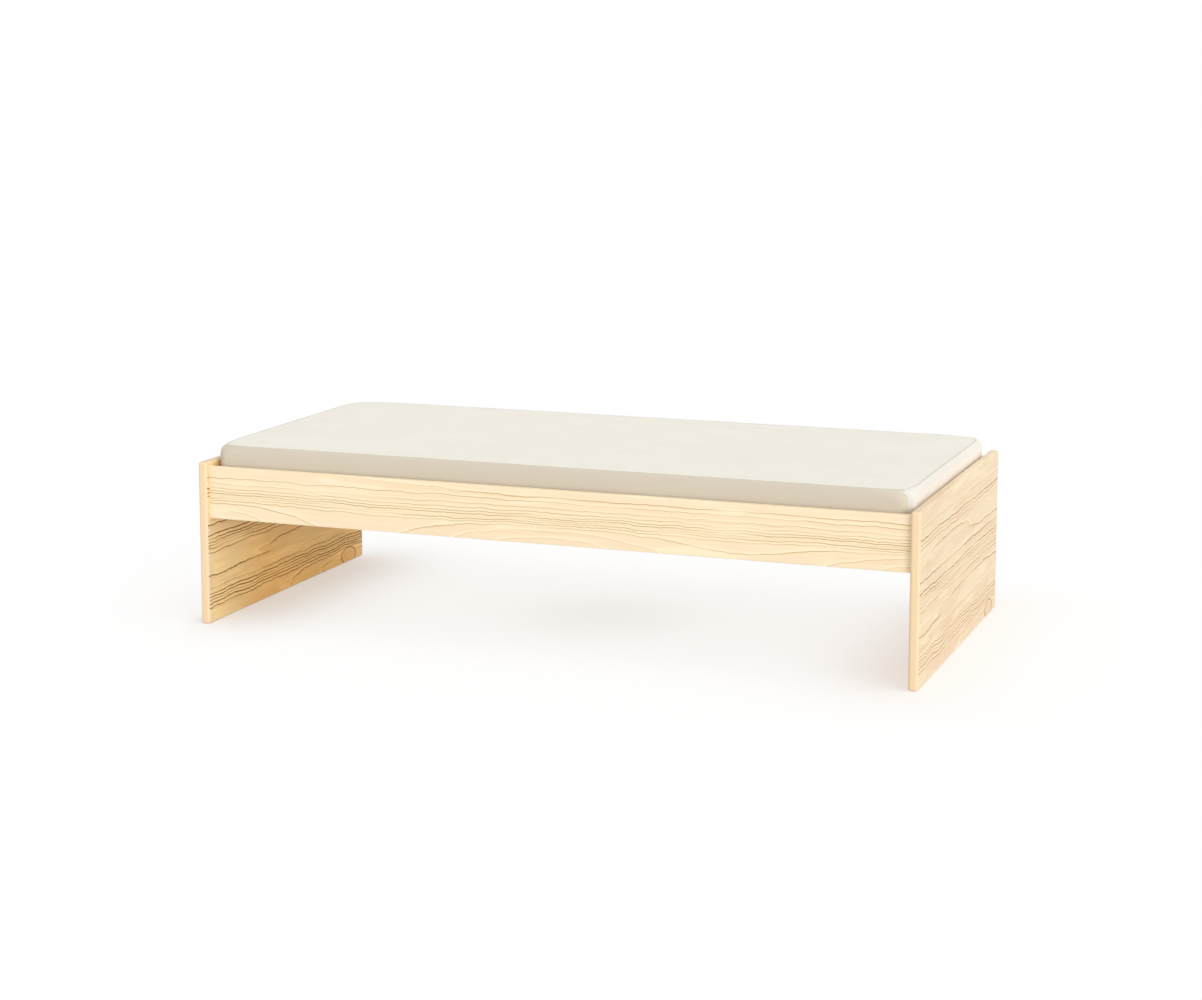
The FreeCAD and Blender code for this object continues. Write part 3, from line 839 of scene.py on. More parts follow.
def slab(name, low, high, corner, roll, rounder, near_edge, spacing, rows):
    """A closed block with round upright corners and rolled rims, as an even net of quads.

    The rims' roll grows by the factor rounder at the corners. The mesh's float attribute "seam" is
    the distance along the surface from the top rim's seam: above nought on the top, below it on
    the border.
    """
    middle = (low + high) / 2
    half = (high - low) / 2
    xs = grid_lines(half.x, near_edge, spacing)
    ys = grid_lines(half.y, near_edge, spacing)

    def roll_at(x, y):
        away = math.hypot(half.x - abs(x), half.y - abs(y))
        return roll * (1 + (rounder - 1) * math.exp(-((away / (CORNER_SPREAD * corner)) ** 2)))

    places = []
    seams = []
    for upright in (1, -1):
        for x in xs:
            for y in ys:
                inset = min(half.x - abs(x), half.y - abs(y))
                bend = roll_at(x, y)
                drop = bend - math.sqrt(max(bend**2 - max(bend - inset, 0) ** 2, 0))
                px, py = round_corner(x, y, half.x, half.y, corner)
                places.append((middle.x + px, middle.y + py, middle.z + upright * (half.z - drop)))
                arc = bend * math.acos(max(min((bend - inset) / bend, 1), 0)) + max(inset - bend, 0)
                seams.append(arc - SEAM_UP * bend if upright > 0 else -half.z)
    wide = len(ys)
    other = len(xs) * wide
    loop = [i * wide for i in range(len(xs))]
    loop += [(len(xs) - 1) * wide + j for j in range(1, wide)]
    loop += [i * wide + wide - 1 for i in range(len(xs) - 2, -1, -1)]
    loop += list(range(wide - 2, 0, -1))
    faces = []
    for i in range(len(xs) - 1):
        for j in range(wide - 1):
            a = i * wide + j
            faces.append((a, a + wide, a + wide + 1, a + 1))
            faces.append((other + a, other + a + 1, other + a + wide + 1, other + a + wide))
    upper = loop
    for row in range(1, rows + 1):
        if row == rows:
            lower = [other + index for index in loop]
        else:
            lower = list(range(len(places), len(places) + len(loop)))
            for index in loop:
                top = places[index]
                height = top[2] + (places[other + index][2] - top[2]) * row / rows
                places.append((top[0], top[1], height))
                seams.append(seams[index] + height - top[2])
        for k in range(len(loop)):
            n = (k + 1) % len(loop)
            faces.append((upper[k], lower[k], lower[n], upper[n]))
        upper = lower
    mesh = bpy.data.meshes.new(name)
    mesh.from_pydata(places, [], faces)
    mesh.attributes.new("seam", "FLOAT", "POINT").data.foreach_set("value", seams)
    shape = bmesh.new()
    shape.from_mesh(mesh)
    bmesh.ops.recalc_face_normals(shape, faces=shape.faces)
    shape.to_mesh(mesh)
    shape.free()
    return mesh


def rows_of(mesh, what="co"):
    """The places of a mesh's vertices, or their normals, as an array of rows."""
    flat = np.zeros(len(mesh.vertices) * 3)
    mesh.vertices.foreach_get(what, flat)
    return flat.reshape(-1, 3)


def move_to(mesh, places):
    """Moves a mesh's vertices to the rows of an array."""
    mesh.vertices.foreach_set("co", places.ravel())
    mesh.update()


def inflate(mesh, pressure, frames, cap, give):
    """Blows the mesh up as weightless cloth: no point moves past cap, or in by more than give."""
    scene = bpy.context.scene
    source = linked("cloth_source", mesh)
    modifier = source.modifiers.new("Cloth", "CLOTH")
    settings = modifier.settings
    settings.quality = 6
    settings.mass = 0.25
    settings.tension_stiffness = 18
    settings.compression_stiffness = 18
    settings.shear_stiffness = 6
    settings.bending_stiffness = 0.4
    settings.shrink_min = -0.004
    settings.use_pressure = True
    settings.uniform_pressure_force = pressure
    settings.effector_weights.gravity = 0
    modifier.point_cache.frame_start = 1
    modifier.point_cache.frame_end = frames
    before = rows_of(mesh)
    for number in range(1, frames + 1):
        scene.frame_set(number)
    blown = evaluated(source)
    move = rows_of(blown) - before
    outward = rows_of(mesh, "normal")
    inwards = np.minimum((move * outward).sum(axis=1, keepdims=True) + give, 0)
    move -= inwards * outward
    reach = np.linalg.norm(move, axis=1, keepdims=True)
    after = before + move * np.minimum(1, cap / np.maximum(reach, 1e-9))
    source.modifiers.remove(modifier)
    scene.frame_set(1)
    bpy.data.objects.remove(source)
    bpy.data.meshes.remove(blown)
    move_to(mesh, after)


def subdivided(mesh):
    """The mesh after one Catmull-Clark subdivision."""
    source = linked("subdivision_source", mesh)
    modifier = source.modifiers.new("Subdivision", "SUBSURF")
    modifier.levels = 1
    modifier.render_levels = 1
    result = evaluated(source)
    source.modifiers.remove(modifier)
    bpy.data.objects.remove(source)
    return result


def sew(mesh, depth, width, pucker):
    """Draws the seam in and puffs the cloth on both sides of it, with small uneven puckers."""
    seams = np.zeros(len(mesh.vertices))
    mesh.attributes["seam"].data.foreach_get("value", seams)
    places = rows_of(mesh)
    normals = rows_of(mesh, "normal")
    near = np.nonzero(np.abs(seams) < 8 * width)[0]
    for index in near:
        at = seams[index] / width
        gather = noise.noise(Vector(places[index]) * 34.0)
        groove = -depth * math.exp(-at * at)
        puff = (0.35 * depth + pucker * gather) * math.exp(-((abs(at) - 2.2) / 1.6) ** 2)
        places[index] += normals[index] * (groove + puff)
    move_to(mesh, places)


def rumple(mesh, height, size):
    """Adds the slight waves of cloth over foam everywhere but underneath."""
    places = rows_of(mesh)
    normals = rows_of(mesh, "normal")
    for index in np.nonzero(normals[:, 2] > -0.5)[0]:
        at = Vector(places[index])
        wave = noise.noise(at / size) + 0.4 * noise.noise(at / (0.37 * size))
        places[index] += normals[index] * (wave * height)
    move_to(mesh, places)


def keep_between(mesh, limits):
    """Holds each point inside a box whose (low, high) pairs may depend on its height."""
    places = rows_of(mesh)
    for axis, pick in enumerate(limits):
        low, high = pick(places)
        places[:, axis] = np.clip(places[:, axis], low, high)
    move_to(mesh, places)


# --- Settings --------------------------------------------------------------------------------


def strength_setting(name, description, strength):
    return FloatProperty(name=name, description=description, default=strength, min=0, max=6)


def length_setting(name, description, length, low=0.0, high=20 * MM):
    return FloatProperty(
        name=name,
        description=description,
        default=length,
        min=low,
        max=high,
        unit="LENGTH",
        precision=5,
    )


def colour_setting(name, description, colour):
    return FloatVectorProperty(name=name, description=description, subtype="COLOR", default=colour)


class BedStudioSettings(bpy.types.PropertyGroup):
    """The floor, the light and the camera."""

    sky: strength_setting("Sky", "Strength of the even light from all round", 0.68)
    key: strength_setting("Key", "Strength of the soft lamp above", 0.98)
    fill: strength_setting("Fill", "Strength of the low soft lamp", 1.5)
    floor_shadow: colour_setting(
        "Floor Shadow",
        "How much of the floor's look is lit, which is how deep its shadow is",
        (0.10, 0.135, 0.155),
    )
    floor_size: length_setting("Floor", "Length of the floor's sides", 60.0, 5.0, 200.0)
    lens: FloatProperty(name="Lens", description="Focal length in millimetres", default=72.281, min=10)


class BedWoodSettings(bpy.types.PropertyGroup):
    """The tones of the pine."""

    rail_tone: colour_setting("Rails", "Pale wood of the rails", tone(250, 230, 197))
    board_tone: colour_setting("End Boards", "Pale wood of the end boards", tone(228, 208, 174))
    board_edge_tone: colour_setting("Board Edges", "End grain of the end boards", tone(244, 214, 174))
    # Board Insides: the inner faces' darker, warmer tone under the bed is painted shade.
    board_painted_shade_tone: colour_setting(
        "Board Insides", "Inner faces of the end boards, under the bed", tone(249, 206, 127)
    )
    slat_tone: colour_setting("Slats", "Bare wood of the slats and ledgers", tone(238, 219, 184))


class BedMattressSettings(bpy.types.PropertyGroup):
    """The mattress's cloth and foam."""

    top_tone: colour_setting("Top", "Top cloth", tone(241, 237, 225))
    border_tone: colour_setting("Border", "Border cloth", tone(212, 202, 184))
    # Ends: the border painted paler where it faces the ends, which is painted light.
    end_painted_light_tone: colour_setting("Ends", "Border cloth at the ends", tone(228, 223, 215))
    thread_pitch: length_setting("Thread Pitch", "Between two threads of the cover", 0.7 * MM, 0.2 * MM)
    swell: length_setting("Swell", "Furthest that the foam pushes the cloth out", 4 * MM)
    pressure: FloatProperty(name="Pressure", description="Pressure under the cloth", default=4.0, min=0)
    seam_depth: length_setting("Seam Depth", "How far the seam draws the cloth in", 0.45 * MM)


class BedFixingSettings(bpy.types.PropertyGroup):
    """Threads and flutes of the fixings, and the straps' weave."""

    screw_pitch: length_setting("Screw Pitch", "Wood screws", 1.8 * MM, 0.5 * MM)
    bolt_pitch: length_setting("Bolt Pitch", "Cam bolts", 2.4 * MM, 0.5 * MM)
    dowel_flutes: IntProperty(name="Flutes", description="Grooves along a dowel", default=14, min=0)
    rib_pitch: length_setting("Rib Pitch", "Strap ribs", 3 * MM, 1 * MM)
    strap_sag: length_setting("Strap Sag", "How far the straps hang between two slats", 1.6 * MM)


# --- Stage -----------------------------------------------------------------------------------

CAMERA_PLACE = (2.3657, -6.3315, 1.6428)
CAMERA_PITCH = 8.086  # degrees below level
CAMERA_YAW = 20.555  # degrees left of straight back
CAMERA_SHIFT = -0.1  # the photograph keeps upright lines upright
KEY_WAY = (0.50, -0.10, 0.85)  # from the bed to the key lamp
FILL_WAY = (0.72, -0.62, 0.10)  # from the bed to the low lamp that reaches in under the rails
LAMP_SPREADS = {"key": 50.0, "fill": 30.0}  # degrees across each lamp, as seen from the bed
FLOOR_GAP = 0.5 * MM
FOOT_REACH = 0.22  # how far the deeper floor shadow reaches from an end board
FOOT_DEPTH = (0.44, 0.22)  # and how much it adds to the share at the left and right boards
PAINTED_WARM_SHADE = (0.006, 0.036, 0.058)  # painted warm shade beside the right board, standing in for the wood's warm reflection, taken from white
FOOT_FADE = 80 * MM  # the left board's deeper shadow fades out over this, outside the board,
FOOT_OUTSIDE = 0.1  # to this much
MIDDLE_REACH = 0.25  # the same for the soft shadow under the bed's middle
MIDDLE_DEPTH = 0.11
FLOOR_BOUNCE = 0.9  # how white the floor is for the light that it throws back


def seen_directly(net):
    """One for what the camera sees, also in a mirror or through glass, and nought for the light."""
    path = net.add("ShaderNodeLightPath", output="Is Camera Ray")
    return net.most(net.most(path, path.output("Is Glossy Ray")), path.output("Is Transmission Ray"))


def studio_world(strength):
    """Even pale light; the camera, glass and metal see plain white."""
    world = bpy.data.worlds.new("studio")
    world.use_nodes = True
    net = Net(world.node_tree)
    light = net.add("ShaderNodeBackground", None, {"Color": (1, 1, 1, 1), "Strength": strength})
    white = net.add("ShaderNodeBackground", None, {"Color": (1, 1, 1, 1), "Strength": 1.0})
    mixed = net.add("ShaderNodeMixShader", None, (seen_directly(net), light, white))
    net.add("ShaderNodeOutputWorld", None, {"Surface": mixed})
    return world


def studio_floor(share):
    """White paper: what is seen keeps only a share of the shadow, and what lights the bed is plain.

    The share is larger close to the end boards' feet and under the bed's middle, and beside the
    right board a little warm shade is painted on the floor.
    """
    material, net = new_material("studio_floor")
    x, y, z = net.spot()
    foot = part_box("end_board_right")
    beside = abs(x) - (foot[0].x + foot[1].x) / 2
    beyond = net.most(abs(y) - foot[1].y, 0.0)
    near = net.bell((beside * beside + beyond * beyond) / FOOT_REACH**2)
    middle = net.bell((x * x + y * y) / MIDDLE_REACH**2)
    right = net.grade(x, -0.2, 0.2)
    depth = net.grade(x, -foot[1].x - FOOT_FADE, -foot[1].x, FOOT_OUTSIDE, FOOT_DEPTH[0])
    depth = depth * (1.0 - right) + right * FOOT_DEPTH[1]
    more = near * depth + middle * MIDDLE_DEPTH
    more = net.vector(more, more, more)
    shares = net.add("ShaderNodeVectorMath", {"operation": "ADD"}, (share, more))
    # Beside the right board the white is painted a little deeper and warmer: painted shade.
    painted_warm_shade_mask = near * right
    white = net.vector(*(1.0 - painted_warm_shade_mask * part for part in PAINTED_WARM_SHADE))
    rest = net.add("ShaderNodeVectorMath", {"operation": "SUBTRACT"}, (white, shares))
    lit = net.add("ShaderNodeBsdfDiffuse", None, {"Color": shares})
    glow = net.add("ShaderNodeEmission", None, {"Color": rest, "Strength": 1.0})
    paper = net.add("ShaderNodeAddShader", None, (lit, glow))
    bounce = net.add("ShaderNodeBsdfDiffuse", None, {"Color": opaque((FLOOR_BOUNCE,) * 3)})
    mixed = net.add("ShaderNodeMixShader", None, (seen_directly(net), bounce, paper))
    net.add("ShaderNodeOutputMaterial", None, {"Surface": mixed})
    return material


class BedStudio(bpy.types.Operator):
    """Makes the floor, the light and the camera"""

    bl_idname = "bed.studio"
    bl_label = "Studio"

    def execute(self, context):
        studio = context.scene.bed_studio
        scene = context.scene
        scene.view_settings.view_transform = "Standard"
        scene.world = studio_world(studio.sky)
        half = studio.floor_size / 2
        rim = [(x * half, y * half, -FLOOR_GAP) for x, y in ((-1, -1), (1, -1), (1, 1), (-1, 1))]
        mesh = bpy.data.meshes.new("floor")
        mesh.from_pydata(rim, [], [(0, 1, 2, 3)])
        mesh.materials.append(studio_floor(studio.floor_shadow))
        floor = linked("floor", mesh)
        for name, strength, way in (("key", studio.key, KEY_WAY), ("fill", studio.fill, FILL_WAY)):
            lamp = bpy.data.lights.new(name, "SUN")
            lamp.energy = strength
            lamp.angle = math.radians(LAMP_SPREADS[name])
            light = linked(name, lamp)
            light.rotation_euler = Vector((0, 0, 1)).rotation_difference(Vector(way)).to_euler()
        lens = bpy.data.cameras.new("camera")
        lens.lens = studio.lens
        lens.sensor_width = 36.0
        lens.shift_y = CAMERA_SHIFT
        camera = linked("camera", lens)
        camera.location = CAMERA_PLACE
        camera.rotation_euler = (math.radians(90 - CAMERA_PITCH), 0, math.radians(CAMERA_YAW))
        scene.camera = camera
        return {"FINISHED"}


# --- Bedstead --------------------------------------------------------------------------------


class BedEndBoards(bpy.types.Operator):
    """Gives the two end boards their lacquered pine"""

    bl_idname = "bed.end_boards"
    bl_label = "End Boards"

    def execute(self, context):
        wood = context.scene.bed_wood
        inner_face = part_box("end_board_right")[0].x
        material = pine(
            "pine_board_lacquered",
            BOARD_FIGURE,
            pale=wood.board_tone,
            warm=tone(218, 189, 145),
            blush=tone(224, 197, 165),
            line=tone(146, 102, 46),
            end=wood.board_edge_tone,
            # The inner tone paints shade on the boards' inner faces under the bed.
            inner=wood.board_painted_shade_tone,
            inner_edge=(inner_face, -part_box("side_rail_front")[0].y),
        )
        finish_nodes(["end_board_" + end for end in ENDS], material)
        return {"FINISHED"}


class BedSideRails(bpy.types.Operator):
    """Gives the side rails their lacquered pine and the ledgers bare pine"""

    bl_idname = "bed.side_rails"
    bl_label = "Side Rails"

    def execute(self, context):
        wood = context.scene.bed_wood
        material = pine(
            "pine_rail_lacquered",
            RAIL_FIGURE,
            pale=wood.rail_tone,
            warm=tone(244, 218, 177),
            blush=tone(248, 227, 195),
            line=tone(198, 156, 100),
        )
        finish_nodes(["side_rail_" + side for side in SIDES], material)
        material = pine(
            "pine_ledger_bare",
            LEDGER_FIGURE,
            pale=wood.slat_tone,
            warm=tone(230, 205, 165),
            blush=tone(236, 213, 180),
            line=tone(186, 150, 104),
            gloss=0.6,
        )
        finish_nodes(["slat_ledger_" + side for side in SIDES], material)
        return {"FINISHED"}


class BedSlats(bpy.types.Operator):
    """Gives the slats their bare pine"""

    bl_idname = "bed.slats"
    bl_label = "Slats"

    def execute(self, context):
        wood = context.scene.bed_wood
        material = pine(
            "pine_slat_bare",
            SLAT_FIGURE,
            pale=wood.slat_tone,
            warm=tone(230, 205, 165),
            blush=tone(238, 214, 182),
            line=tone(188, 152, 106),
            gloss=0.6,
        )
        slats = [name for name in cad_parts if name.startswith("slat_") and name[5:].isdigit()]
        finish_nodes(slats, material)
        return {"FINISHED"}


class BedStraps(bpy.types.Operator):
    """Weaves the two straps that space the slats"""

    bl_idname = "bed.straps"
    bl_label = "Straps"

    def execute(self, context):
        fixings = context.scene.bed_fixings
        material = tape("strap_tape", tone(236, 233, 224), 1.1 * MM)
        tree = strap_tree()
        first_low, first_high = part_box("slat_01")
        next_low, next_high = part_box("slat_02")
        for side in SIDES:
            node = "slat_strap_" + side
            low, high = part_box(node)
            values = {
                "Middle": (low + high) / 2,
                "Size": high - low,
                "Rib Pitch": fixings.rib_pitch,
                "Rib Height": 0.08 * MM,
                "Slat Pitch": next_low.x - first_low.x,
                "First Slat": (first_low.x + first_high.x) / 2,
                "Bearing Share": (first_high.x - first_low.x) / (next_low.x - first_low.x) / 2,
                "Sag": fixings.strap_sag,
                "Material": material,
            }
            mesh = grown("strap_" + side, bpy.data.meshes.new("strap_start"), tree, values)
            strap = new_piece("webbing_strap_" + side, mesh, material, BEDSTEAD)
            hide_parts(node)
        return {"FINISHED"}


STAPLE_POINT = 0.8 * MM
STAPLE_WIRE = 0.5 * MM
STAPLE_BEND = 0.9 * MM


def staple_line(half, leg, bend, top):
    """The bent line of a staple's outer or inner side, as (y, z) points from tip to tip."""
    line = [(-half, leg)]
    for step in range(4):
        turn = math.pi / 2 * step / 3
        line.append((-half + bend * (1 - math.cos(turn)), top + bend * (1 - math.sin(turn))))
    return line + [(-y, z) for y, z in reversed(line)]


def staple_mesh(width, leg, wire_across, wire_thick, bend):
    """A bent staple, crown up, whose tips point along Z; the crown's top is at nought."""
    half = width / 2
    inner_bend = max(bend - wire_thick, 0.05 * MM)
    outer = staple_line(half, leg, bend, 0.0)
    inner = staple_line(half - wire_thick, leg - STAPLE_POINT, inner_bend, wire_thick)
    shape = bmesh.new()
    rows = []
    for x in (-wire_across / 2, wire_across / 2):
        rows.append([[shape.verts.new((x, y, z)) for y, z in line] for line in (outer, inner)])
    (outer_a, inner_a), (outer_b, inner_b) = rows
    for i in range(len(outer) - 1):
        shape.faces.new((outer_a[i], outer_a[i + 1], outer_b[i + 1], outer_b[i]))
        shape.faces.new((inner_a[i], inner_b[i], inner_b[i + 1], inner_a[i + 1]))
        shape.faces.new((outer_a[i], inner_a[i], inner_a[i + 1], outer_a[i + 1]))
        shape.faces.new((outer_b[i], outer_b[i + 1], inner_b[i + 1], inner_b[i]))
    for i in (0, -1):
        shape.faces.new((outer_a[i], outer_b[i], inner_b[i], inner_a[i]))
    return close_mesh("staple", shape)


class BedStaples(bpy.types.Operator):
    """Sets the staples that hold the straps to the slats"""

    bl_idname = "bed.staples"
    bl_label = "Staples"

    def execute(self, context):
        material = plated("staple_wire", (0.72, 0.72, 0.74), (0.55, 0.55, 0.57), 0.32)
        staples = fastened(
            "strap_staples",
            "strap_staple_set",
            lambda low, high: (0, 0, -1),
            lambda size: staple_mesh(size.y, size.z, size.x, STAPLE_WIRE, STAPLE_BEND),
            material,
        )
        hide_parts("strap_staples")
        return {"FINISHED"}


SCREW_HEAD = 8.0 * MM
SCREW_CORE = 3.0 * MM
SCREW_HEAD_HEIGHT = 2.4 * MM
SCREW_TIP = 5.0 * MM
CROSS_LENGTH = 4.4 * MM
CROSS_WIDTH = 1.0 * MM
CROSS_DEPTH = 1.6 * MM
SCREW_THREAD = 0.5 * MM  # depth of the screws' thread


def wood_screw(length, pitch):
    """A countersunk wood screw with a driver's cross, head at nought and tip along Z."""
    neck = 0.3 * length
    thread_top = length - SCREW_TIP
    turns = int((length - neck) / pitch * 4)
    profile = [(0.0, SCREW_HEAD / 2), (0.25 * MM, SCREW_HEAD / 2)]
    profile += [(SCREW_HEAD_HEIGHT, SCREW_CORE / 2 + 0.2 * MM), (neck, SCREW_CORE / 2 + 0.2 * MM)]
    for height in level(neck + 0.2 * MM, length - 0.3 * MM, turns):
        taper = min(1.0, (length - height) / SCREW_TIP)
        profile.append((height, SCREW_CORE / 2 * taper))
    profile.append((length, 0.15 * MM))
    shape, face = turned(profile, 16, (neck, thread_top + 2 * MM))
    cut_cross(shape, face, CROSS_LENGTH, CROSS_WIDTH, CROSS_DEPTH)
    return close_mesh("wood_screw", shape)


class BedWoodScrews(bpy.types.Operator):
    """Drives the wood screws of the ledgers and of the end slats"""

    bl_idname = "bed.wood_screws"
    bl_label = "Wood Screws"

    def execute(self, context):
        pitch = context.scene.bed_fixings.screw_pitch
        material = plated("screw_yellow_zinc", (0.80, 0.68, 0.40), (0.66, 0.58, 0.40), 0.30)
        ways = {
            "ledger_screws_front": (0, -1, 0),
            "ledger_screws_back": (0, 1, 0),
            "end_slat_screws": (0, 0, -1),
        }
        for node, way in ways.items():
            screws = fastened(
                node,
                node + "_threaded",
                lambda low, high: way,
                lambda size: wood_screw(max(size), pitch),
                material,
                pitch,
                SCREW_THREAD,
            )
            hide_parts(node)
        return {"FINISHED"}


# A cam bolt's (height, radius) steps from its threaded end, in millimetres.
BOLT_THREAD = 11.0
BOLT_THREAD_DEPTH = 0.6 * MM
BOLT_STEPS = (
    (11.0, 2.4),
    (11.0, 4.0),
    (13.5, 4.0),
    (13.5, 2.8),
    (35.6, 2.8),
    (35.6, 2.0),
    (43.6, 2.0),
    (43.6, 3.2),
    (44.2, 3.4),
    (45.8, 3.4),
    (46.4, 2.9),
)


def cam_bolt(length, pitch):
    """A cam bolt with a coarse thread, a collar, a shank, a neck and a round head."""
    scale = length / BOLT_STEPS[-1][0]
    turns = int(BOLT_THREAD * MM / pitch * 6)
    profile = [(0.0, 1.6 * MM)]
    profile += [(height, 2.4 * MM) for height in level(0.8 * MM, (BOLT_THREAD - 0.4) * MM, turns)]
    profile += [(height * MM * scale, radius * MM) for height, radius in BOLT_STEPS]
    shape, face = turned(profile, 20, (0.8 * MM, (BOLT_THREAD - 0.4) * MM))
    return close_mesh("cam_bolt", shape)


class BedCamFittings(bpy.types.Operator):
    """Makes the cam bolts and gives the cams and their caps their finish"""

    bl_idname = "bed.cam_fittings"
    bl_label = "Cam Fittings"

    def execute(self, context):
        pitch = context.scene.bed_fixings.bolt_pitch
        steel = plated("bolt_bright_zinc", (0.68, 0.68, 0.70), (0.54, 0.54, 0.57), 0.28)
        bolts = fastened(
            "cam_bolts",
            "cam_bolts_threaded",
            into_rail,
            lambda size: cam_bolt(size.x, pitch),
            steel,
            pitch,
            BOLT_THREAD_DEPTH,
        )
        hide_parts("cam_bolts")
        cast = plated("cam_die_cast", (0.62, 0.62, 0.64), (0.46, 0.46, 0.49), 0.42, grain=1600.0)
        finish_nodes(["cams"], cast)
        finish_nodes(["cam_caps"], moulded("cap_wood_tone", tone(240, 219, 184)))
        return {"FINISHED"}


DOWEL_CHAMFER = 1.0 * MM
DOWEL_RIM = 0.3 * MM  # height of the steeper first part of the chamfer
FLUTE_DEPTH = 0.09  # of the radius


def dowel(length, radius, flutes):
    """A fluted dowel whose ends are chamfered in two steps."""
    start = [
        (0.0, radius - DOWEL_CHAMFER),
        (DOWEL_RIM, radius - 0.55 * DOWEL_CHAMFER),
        (DOWEL_CHAMFER, radius),
    ]
    profile = start + [(length / 2, radius)]
    profile += [(length - height, reach) for height, reach in reversed(start)]
    shape, face = turned(profile, 6 * flutes, flutes=(flutes, FLUTE_DEPTH))
    return close_mesh("dowel", shape)


class BedDowels(bpy.types.Operator):
    """Makes the fluted dowels of the rail joints"""

    bl_idname = "bed.dowels"
    bl_label = "Dowels"

    def execute(self, context):
        flutes = context.scene.bed_fixings.dowel_flutes
        material = beech("dowel_beech")
        dowels = fastened(
            "rail_dowels",
            "rail_dowels_fluted",
            into_rail,
            lambda size: dowel(size.x, size.y / 2, flutes),
            material,
        )
        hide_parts("rail_dowels")
        return {"FINISHED"}


# --- Mattress --------------------------------------------------------------------------------

MATTRESS_CORNER = 35 * MM
FOLD_ROLL = 7 * MM
GRID_SPACING = 17 * MM
NEAR_EDGE = (0.0, 2.2 * MM, 5.0 * MM, 9.0 * MM, 15.0 * MM, 23.0 * MM, 34.0 * MM, 48.0 * MM)
START_INSET = 2.5 * MM
CORE_INSET = 4.0 * MM
SEAM_UP = 1.35  # height of the seam on the fold, as a share of its roll
CORNER_ROLL = 4.4  # how much rounder the fold is at the corners
BOARD_CLEARANCE = 1.6 * MM
RAIL_CLEARANCE = 1.2 * MM
CLEAR_ABOVE = 2 * MM  # above a board or rail the cloth keeps its clearance for this much more
BASE_OVERLAP = 0.2 * MM  # how far the cover reaches below the base cloth's upper side
CORE_CORNER = 33 * MM
CORE_ROLL = 12 * MM
CORE_CORNER_ROLL = 2.7
CORE_SPACING = 60 * MM
HEM = 6 * MM
PANEL_CORNER = 17 * MM
PANEL_THICKNESS = 0.6 * MM


def reach_below(places, top, face, clearance):
    """How far points may reach each way: short of a face beside it, and up to it above its top."""
    free = np.where(places[:, 2] < top + CLEAR_ABOVE, face - clearance, face)
    return -free, free


class BedFoamCore(bpy.types.Operator):
    """Makes the foam block inside the cover"""

    bl_idname = "bed.foam_core"
    bl_label = "Foam Core"

    def execute(self, context):
        low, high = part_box("mattress_core")
        inset = Vector((CORE_INSET, CORE_INSET, CORE_INSET))
        shape = (CORE_CORNER, CORE_ROLL, CORE_CORNER_ROLL, NEAR_EDGE[::2], CORE_SPACING, 6)
        mesh = slab("foam", low + inset, high - inset, *shape)
        smooth(mesh)
        foam = open_foam("foam_open_cell", tone(240, 232, 205))
        core = new_piece("mattress_foam", mesh, foam, MATTRESS)
        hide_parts("mattress_core")
        return {"FINISHED"}


class BedMattressCover(bpy.types.Operator):
    """Makes the mattress cover as cloth over foam, with a seam round its top"""

    bl_idname = "bed.mattress_cover"
    bl_label = "Mattress Cover"

    def execute(self, context):
        looks = context.scene.bed_mattress
        low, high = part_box("mattress_cover")
        cloth_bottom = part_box("mattress_base_cloth")[1].z
        base = cloth_bottom - BASE_OVERLAP
        start_low = Vector((low.x + START_INSET, low.y + START_INSET, base))
        start_high = high - Vector((START_INSET, START_INSET, START_INSET))
        shape = (MATTRESS_CORNER, FOLD_ROLL, CORNER_ROLL, NEAR_EDGE, GRID_SPACING, 9)
        mesh = slab("cover", start_low, start_high, *shape)
        inflate(mesh, looks.pressure, 20, looks.swell, 0.5 * MM)
        mesh = subdivided(mesh)
        rumple(mesh, 0.35 * MM, 0.16)
        sew(mesh, looks.seam_depth, 1.6 * MM, 0.5 * MM)
        rail_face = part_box("side_rail_back")[0].y
        rail_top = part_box("side_rail_back")[1].z
        board_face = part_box("end_board_right")[0].x
        board_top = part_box("end_board_right")[1].z
        room = (
            lambda places: reach_below(places, board_top, board_face, BOARD_CLEARANCE),
            lambda places: reach_below(places, rail_top, rail_face, RAIL_CLEARANCE),
            lambda places: (base, high.z + looks.swell),
        )
        keep_between(mesh, room)
        smooth(mesh, math.pi)
        tones = (looks.top_tone, looks.border_tone, looks.end_painted_light_tone)
        cotton = woven_cover("cover_cotton", *tones, high.z, looks.thread_pitch)
        mesh.materials.clear()
        cover = new_piece("mattress_cover_sewn", mesh, cotton, MATTRESS)
        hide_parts("mattress_cover")
        return {"FINISHED"}


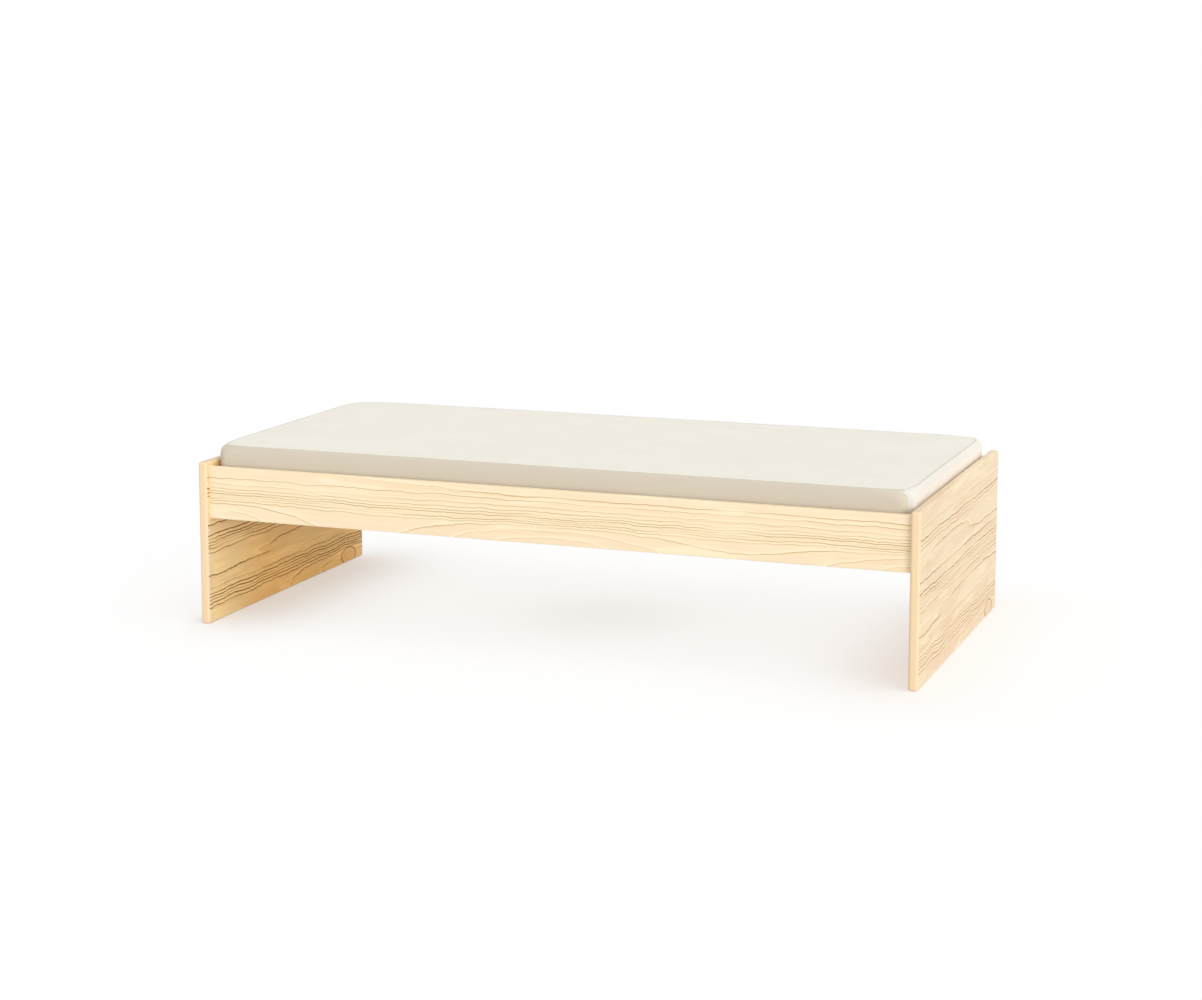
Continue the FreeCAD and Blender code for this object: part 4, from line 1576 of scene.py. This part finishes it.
class BedBaseCloth(bpy.types.Operator):
    """Makes the lining panel under the mattress"""

    bl_idname = "bed.base_cloth"
    bl_label = "Base Cloth"

    def execute(self, context):
        low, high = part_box("mattress_base_cloth")
        size = high - low
        middle = (low + high) / 2
        thickness = 1.0 * MM
        xs = grid_lines(size.x / 2, (0.0, HEM / 2, HEM, PANEL_CORNER), 40 * MM)
        ys = grid_lines(size.y / 2, (0.0, HEM / 2, HEM, PANEL_CORNER), 40 * MM)
        places = []
        for x in xs:
            for y in ys:
                px, py = round_corner(x, y, size.x / 2, size.y / 2, PANEL_CORNER)
                inset = min(size.x / 2 - abs(x), size.y / 2 - abs(y))
                lift = 0.35 * MM * min(inset / HEM, 1.0) + 0.25 * MM * noise.noise(Vector((x, y, 0)) * 6)
                places.append((middle.x + px, middle.y + py, low.z + thickness + max(lift, 0)))
        wide = len(ys)
        faces = [
            (i * wide + j, (i + 1) * wide + j, (i + 1) * wide + j + 1, i * wide + j + 1)
            for i in range(len(xs) - 1)
            for j in range(wide - 1)
        ]
        mesh = bpy.data.meshes.new("base_cloth")
        mesh.from_pydata(places, [], faces)
        cloth = lining("base_lining", tone(228, 225, 216), 0.9 * MM)
        panel = linked("mattress_lining", mesh)
        wall = panel.modifiers.new("Solidify", "SOLIDIFY")
        wall.thickness = PANEL_THICKNESS
        wall.offset = -1.0
        solid = evaluated(panel)
        bpy.data.objects.remove(panel)
        smooth(solid)
        panel = new_piece("mattress_lining", solid, cloth, MATTRESS)
        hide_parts("mattress_base_cloth")
        return {"FINISHED"}


# --- Add-on ----------------------------------------------------------------------------------

STEPS = (
    BedStudio,
    BedEndBoards,
    BedSideRails,
    BedSlats,
    BedStraps,
    BedStaples,
    BedWoodScrews,
    BedCamFittings,
    BedDowels,
    BedFoamCore,
    BedMattressCover,
    BedBaseCloth,
)
SETTINGS = {
    "bed_studio": BedStudioSettings,
    "bed_wood": BedWoodSettings,
    "bed_mattress": BedMattressSettings,
    "bed_fixings": BedFixingSettings,
}


class BedPanel(bpy.types.Panel):
    """Lists the bed's settings and steps"""

    bl_idname = "VIEW3D_PT_bed"
    bl_label = "Low Pine Bed"
    bl_space_type = "VIEW_3D"
    bl_region_type = "UI"
    bl_category = "Bed"

    def draw(self, context):
        for name in SETTINGS:
            box = self.layout.box()
            settings = getattr(context.scene, name)
            for label in type(settings).__annotations__:
                box.prop(settings, label)
        for step in STEPS:
            self.layout.operator(step.bl_idname)


def register():
    for kind in (*SETTINGS.values(), *STEPS, BedPanel):
        bpy.utils.register_class(kind)
    for name, kind in SETTINGS.items():
        setattr(bpy.types.Scene, name, PointerProperty(type=kind))


def unregister():
    for name in SETTINGS:
        delattr(bpy.types.Scene, name)
    for kind in reversed((*SETTINGS.values(), *STEPS, BedPanel)):
        bpy.utils.unregister_class(kind)


def corners(box):
    """A box's corners as plain lists."""
    return [[float(value) for value in corner] for corner in box]


def main():
    """Dresses the whole bed."""
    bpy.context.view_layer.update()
    register()
    for step in STEPS:
        group, name = step.bl_idname.split(".")
        getattr(getattr(bpy.ops, group), name)()


if __name__ == "__main__":
    main()
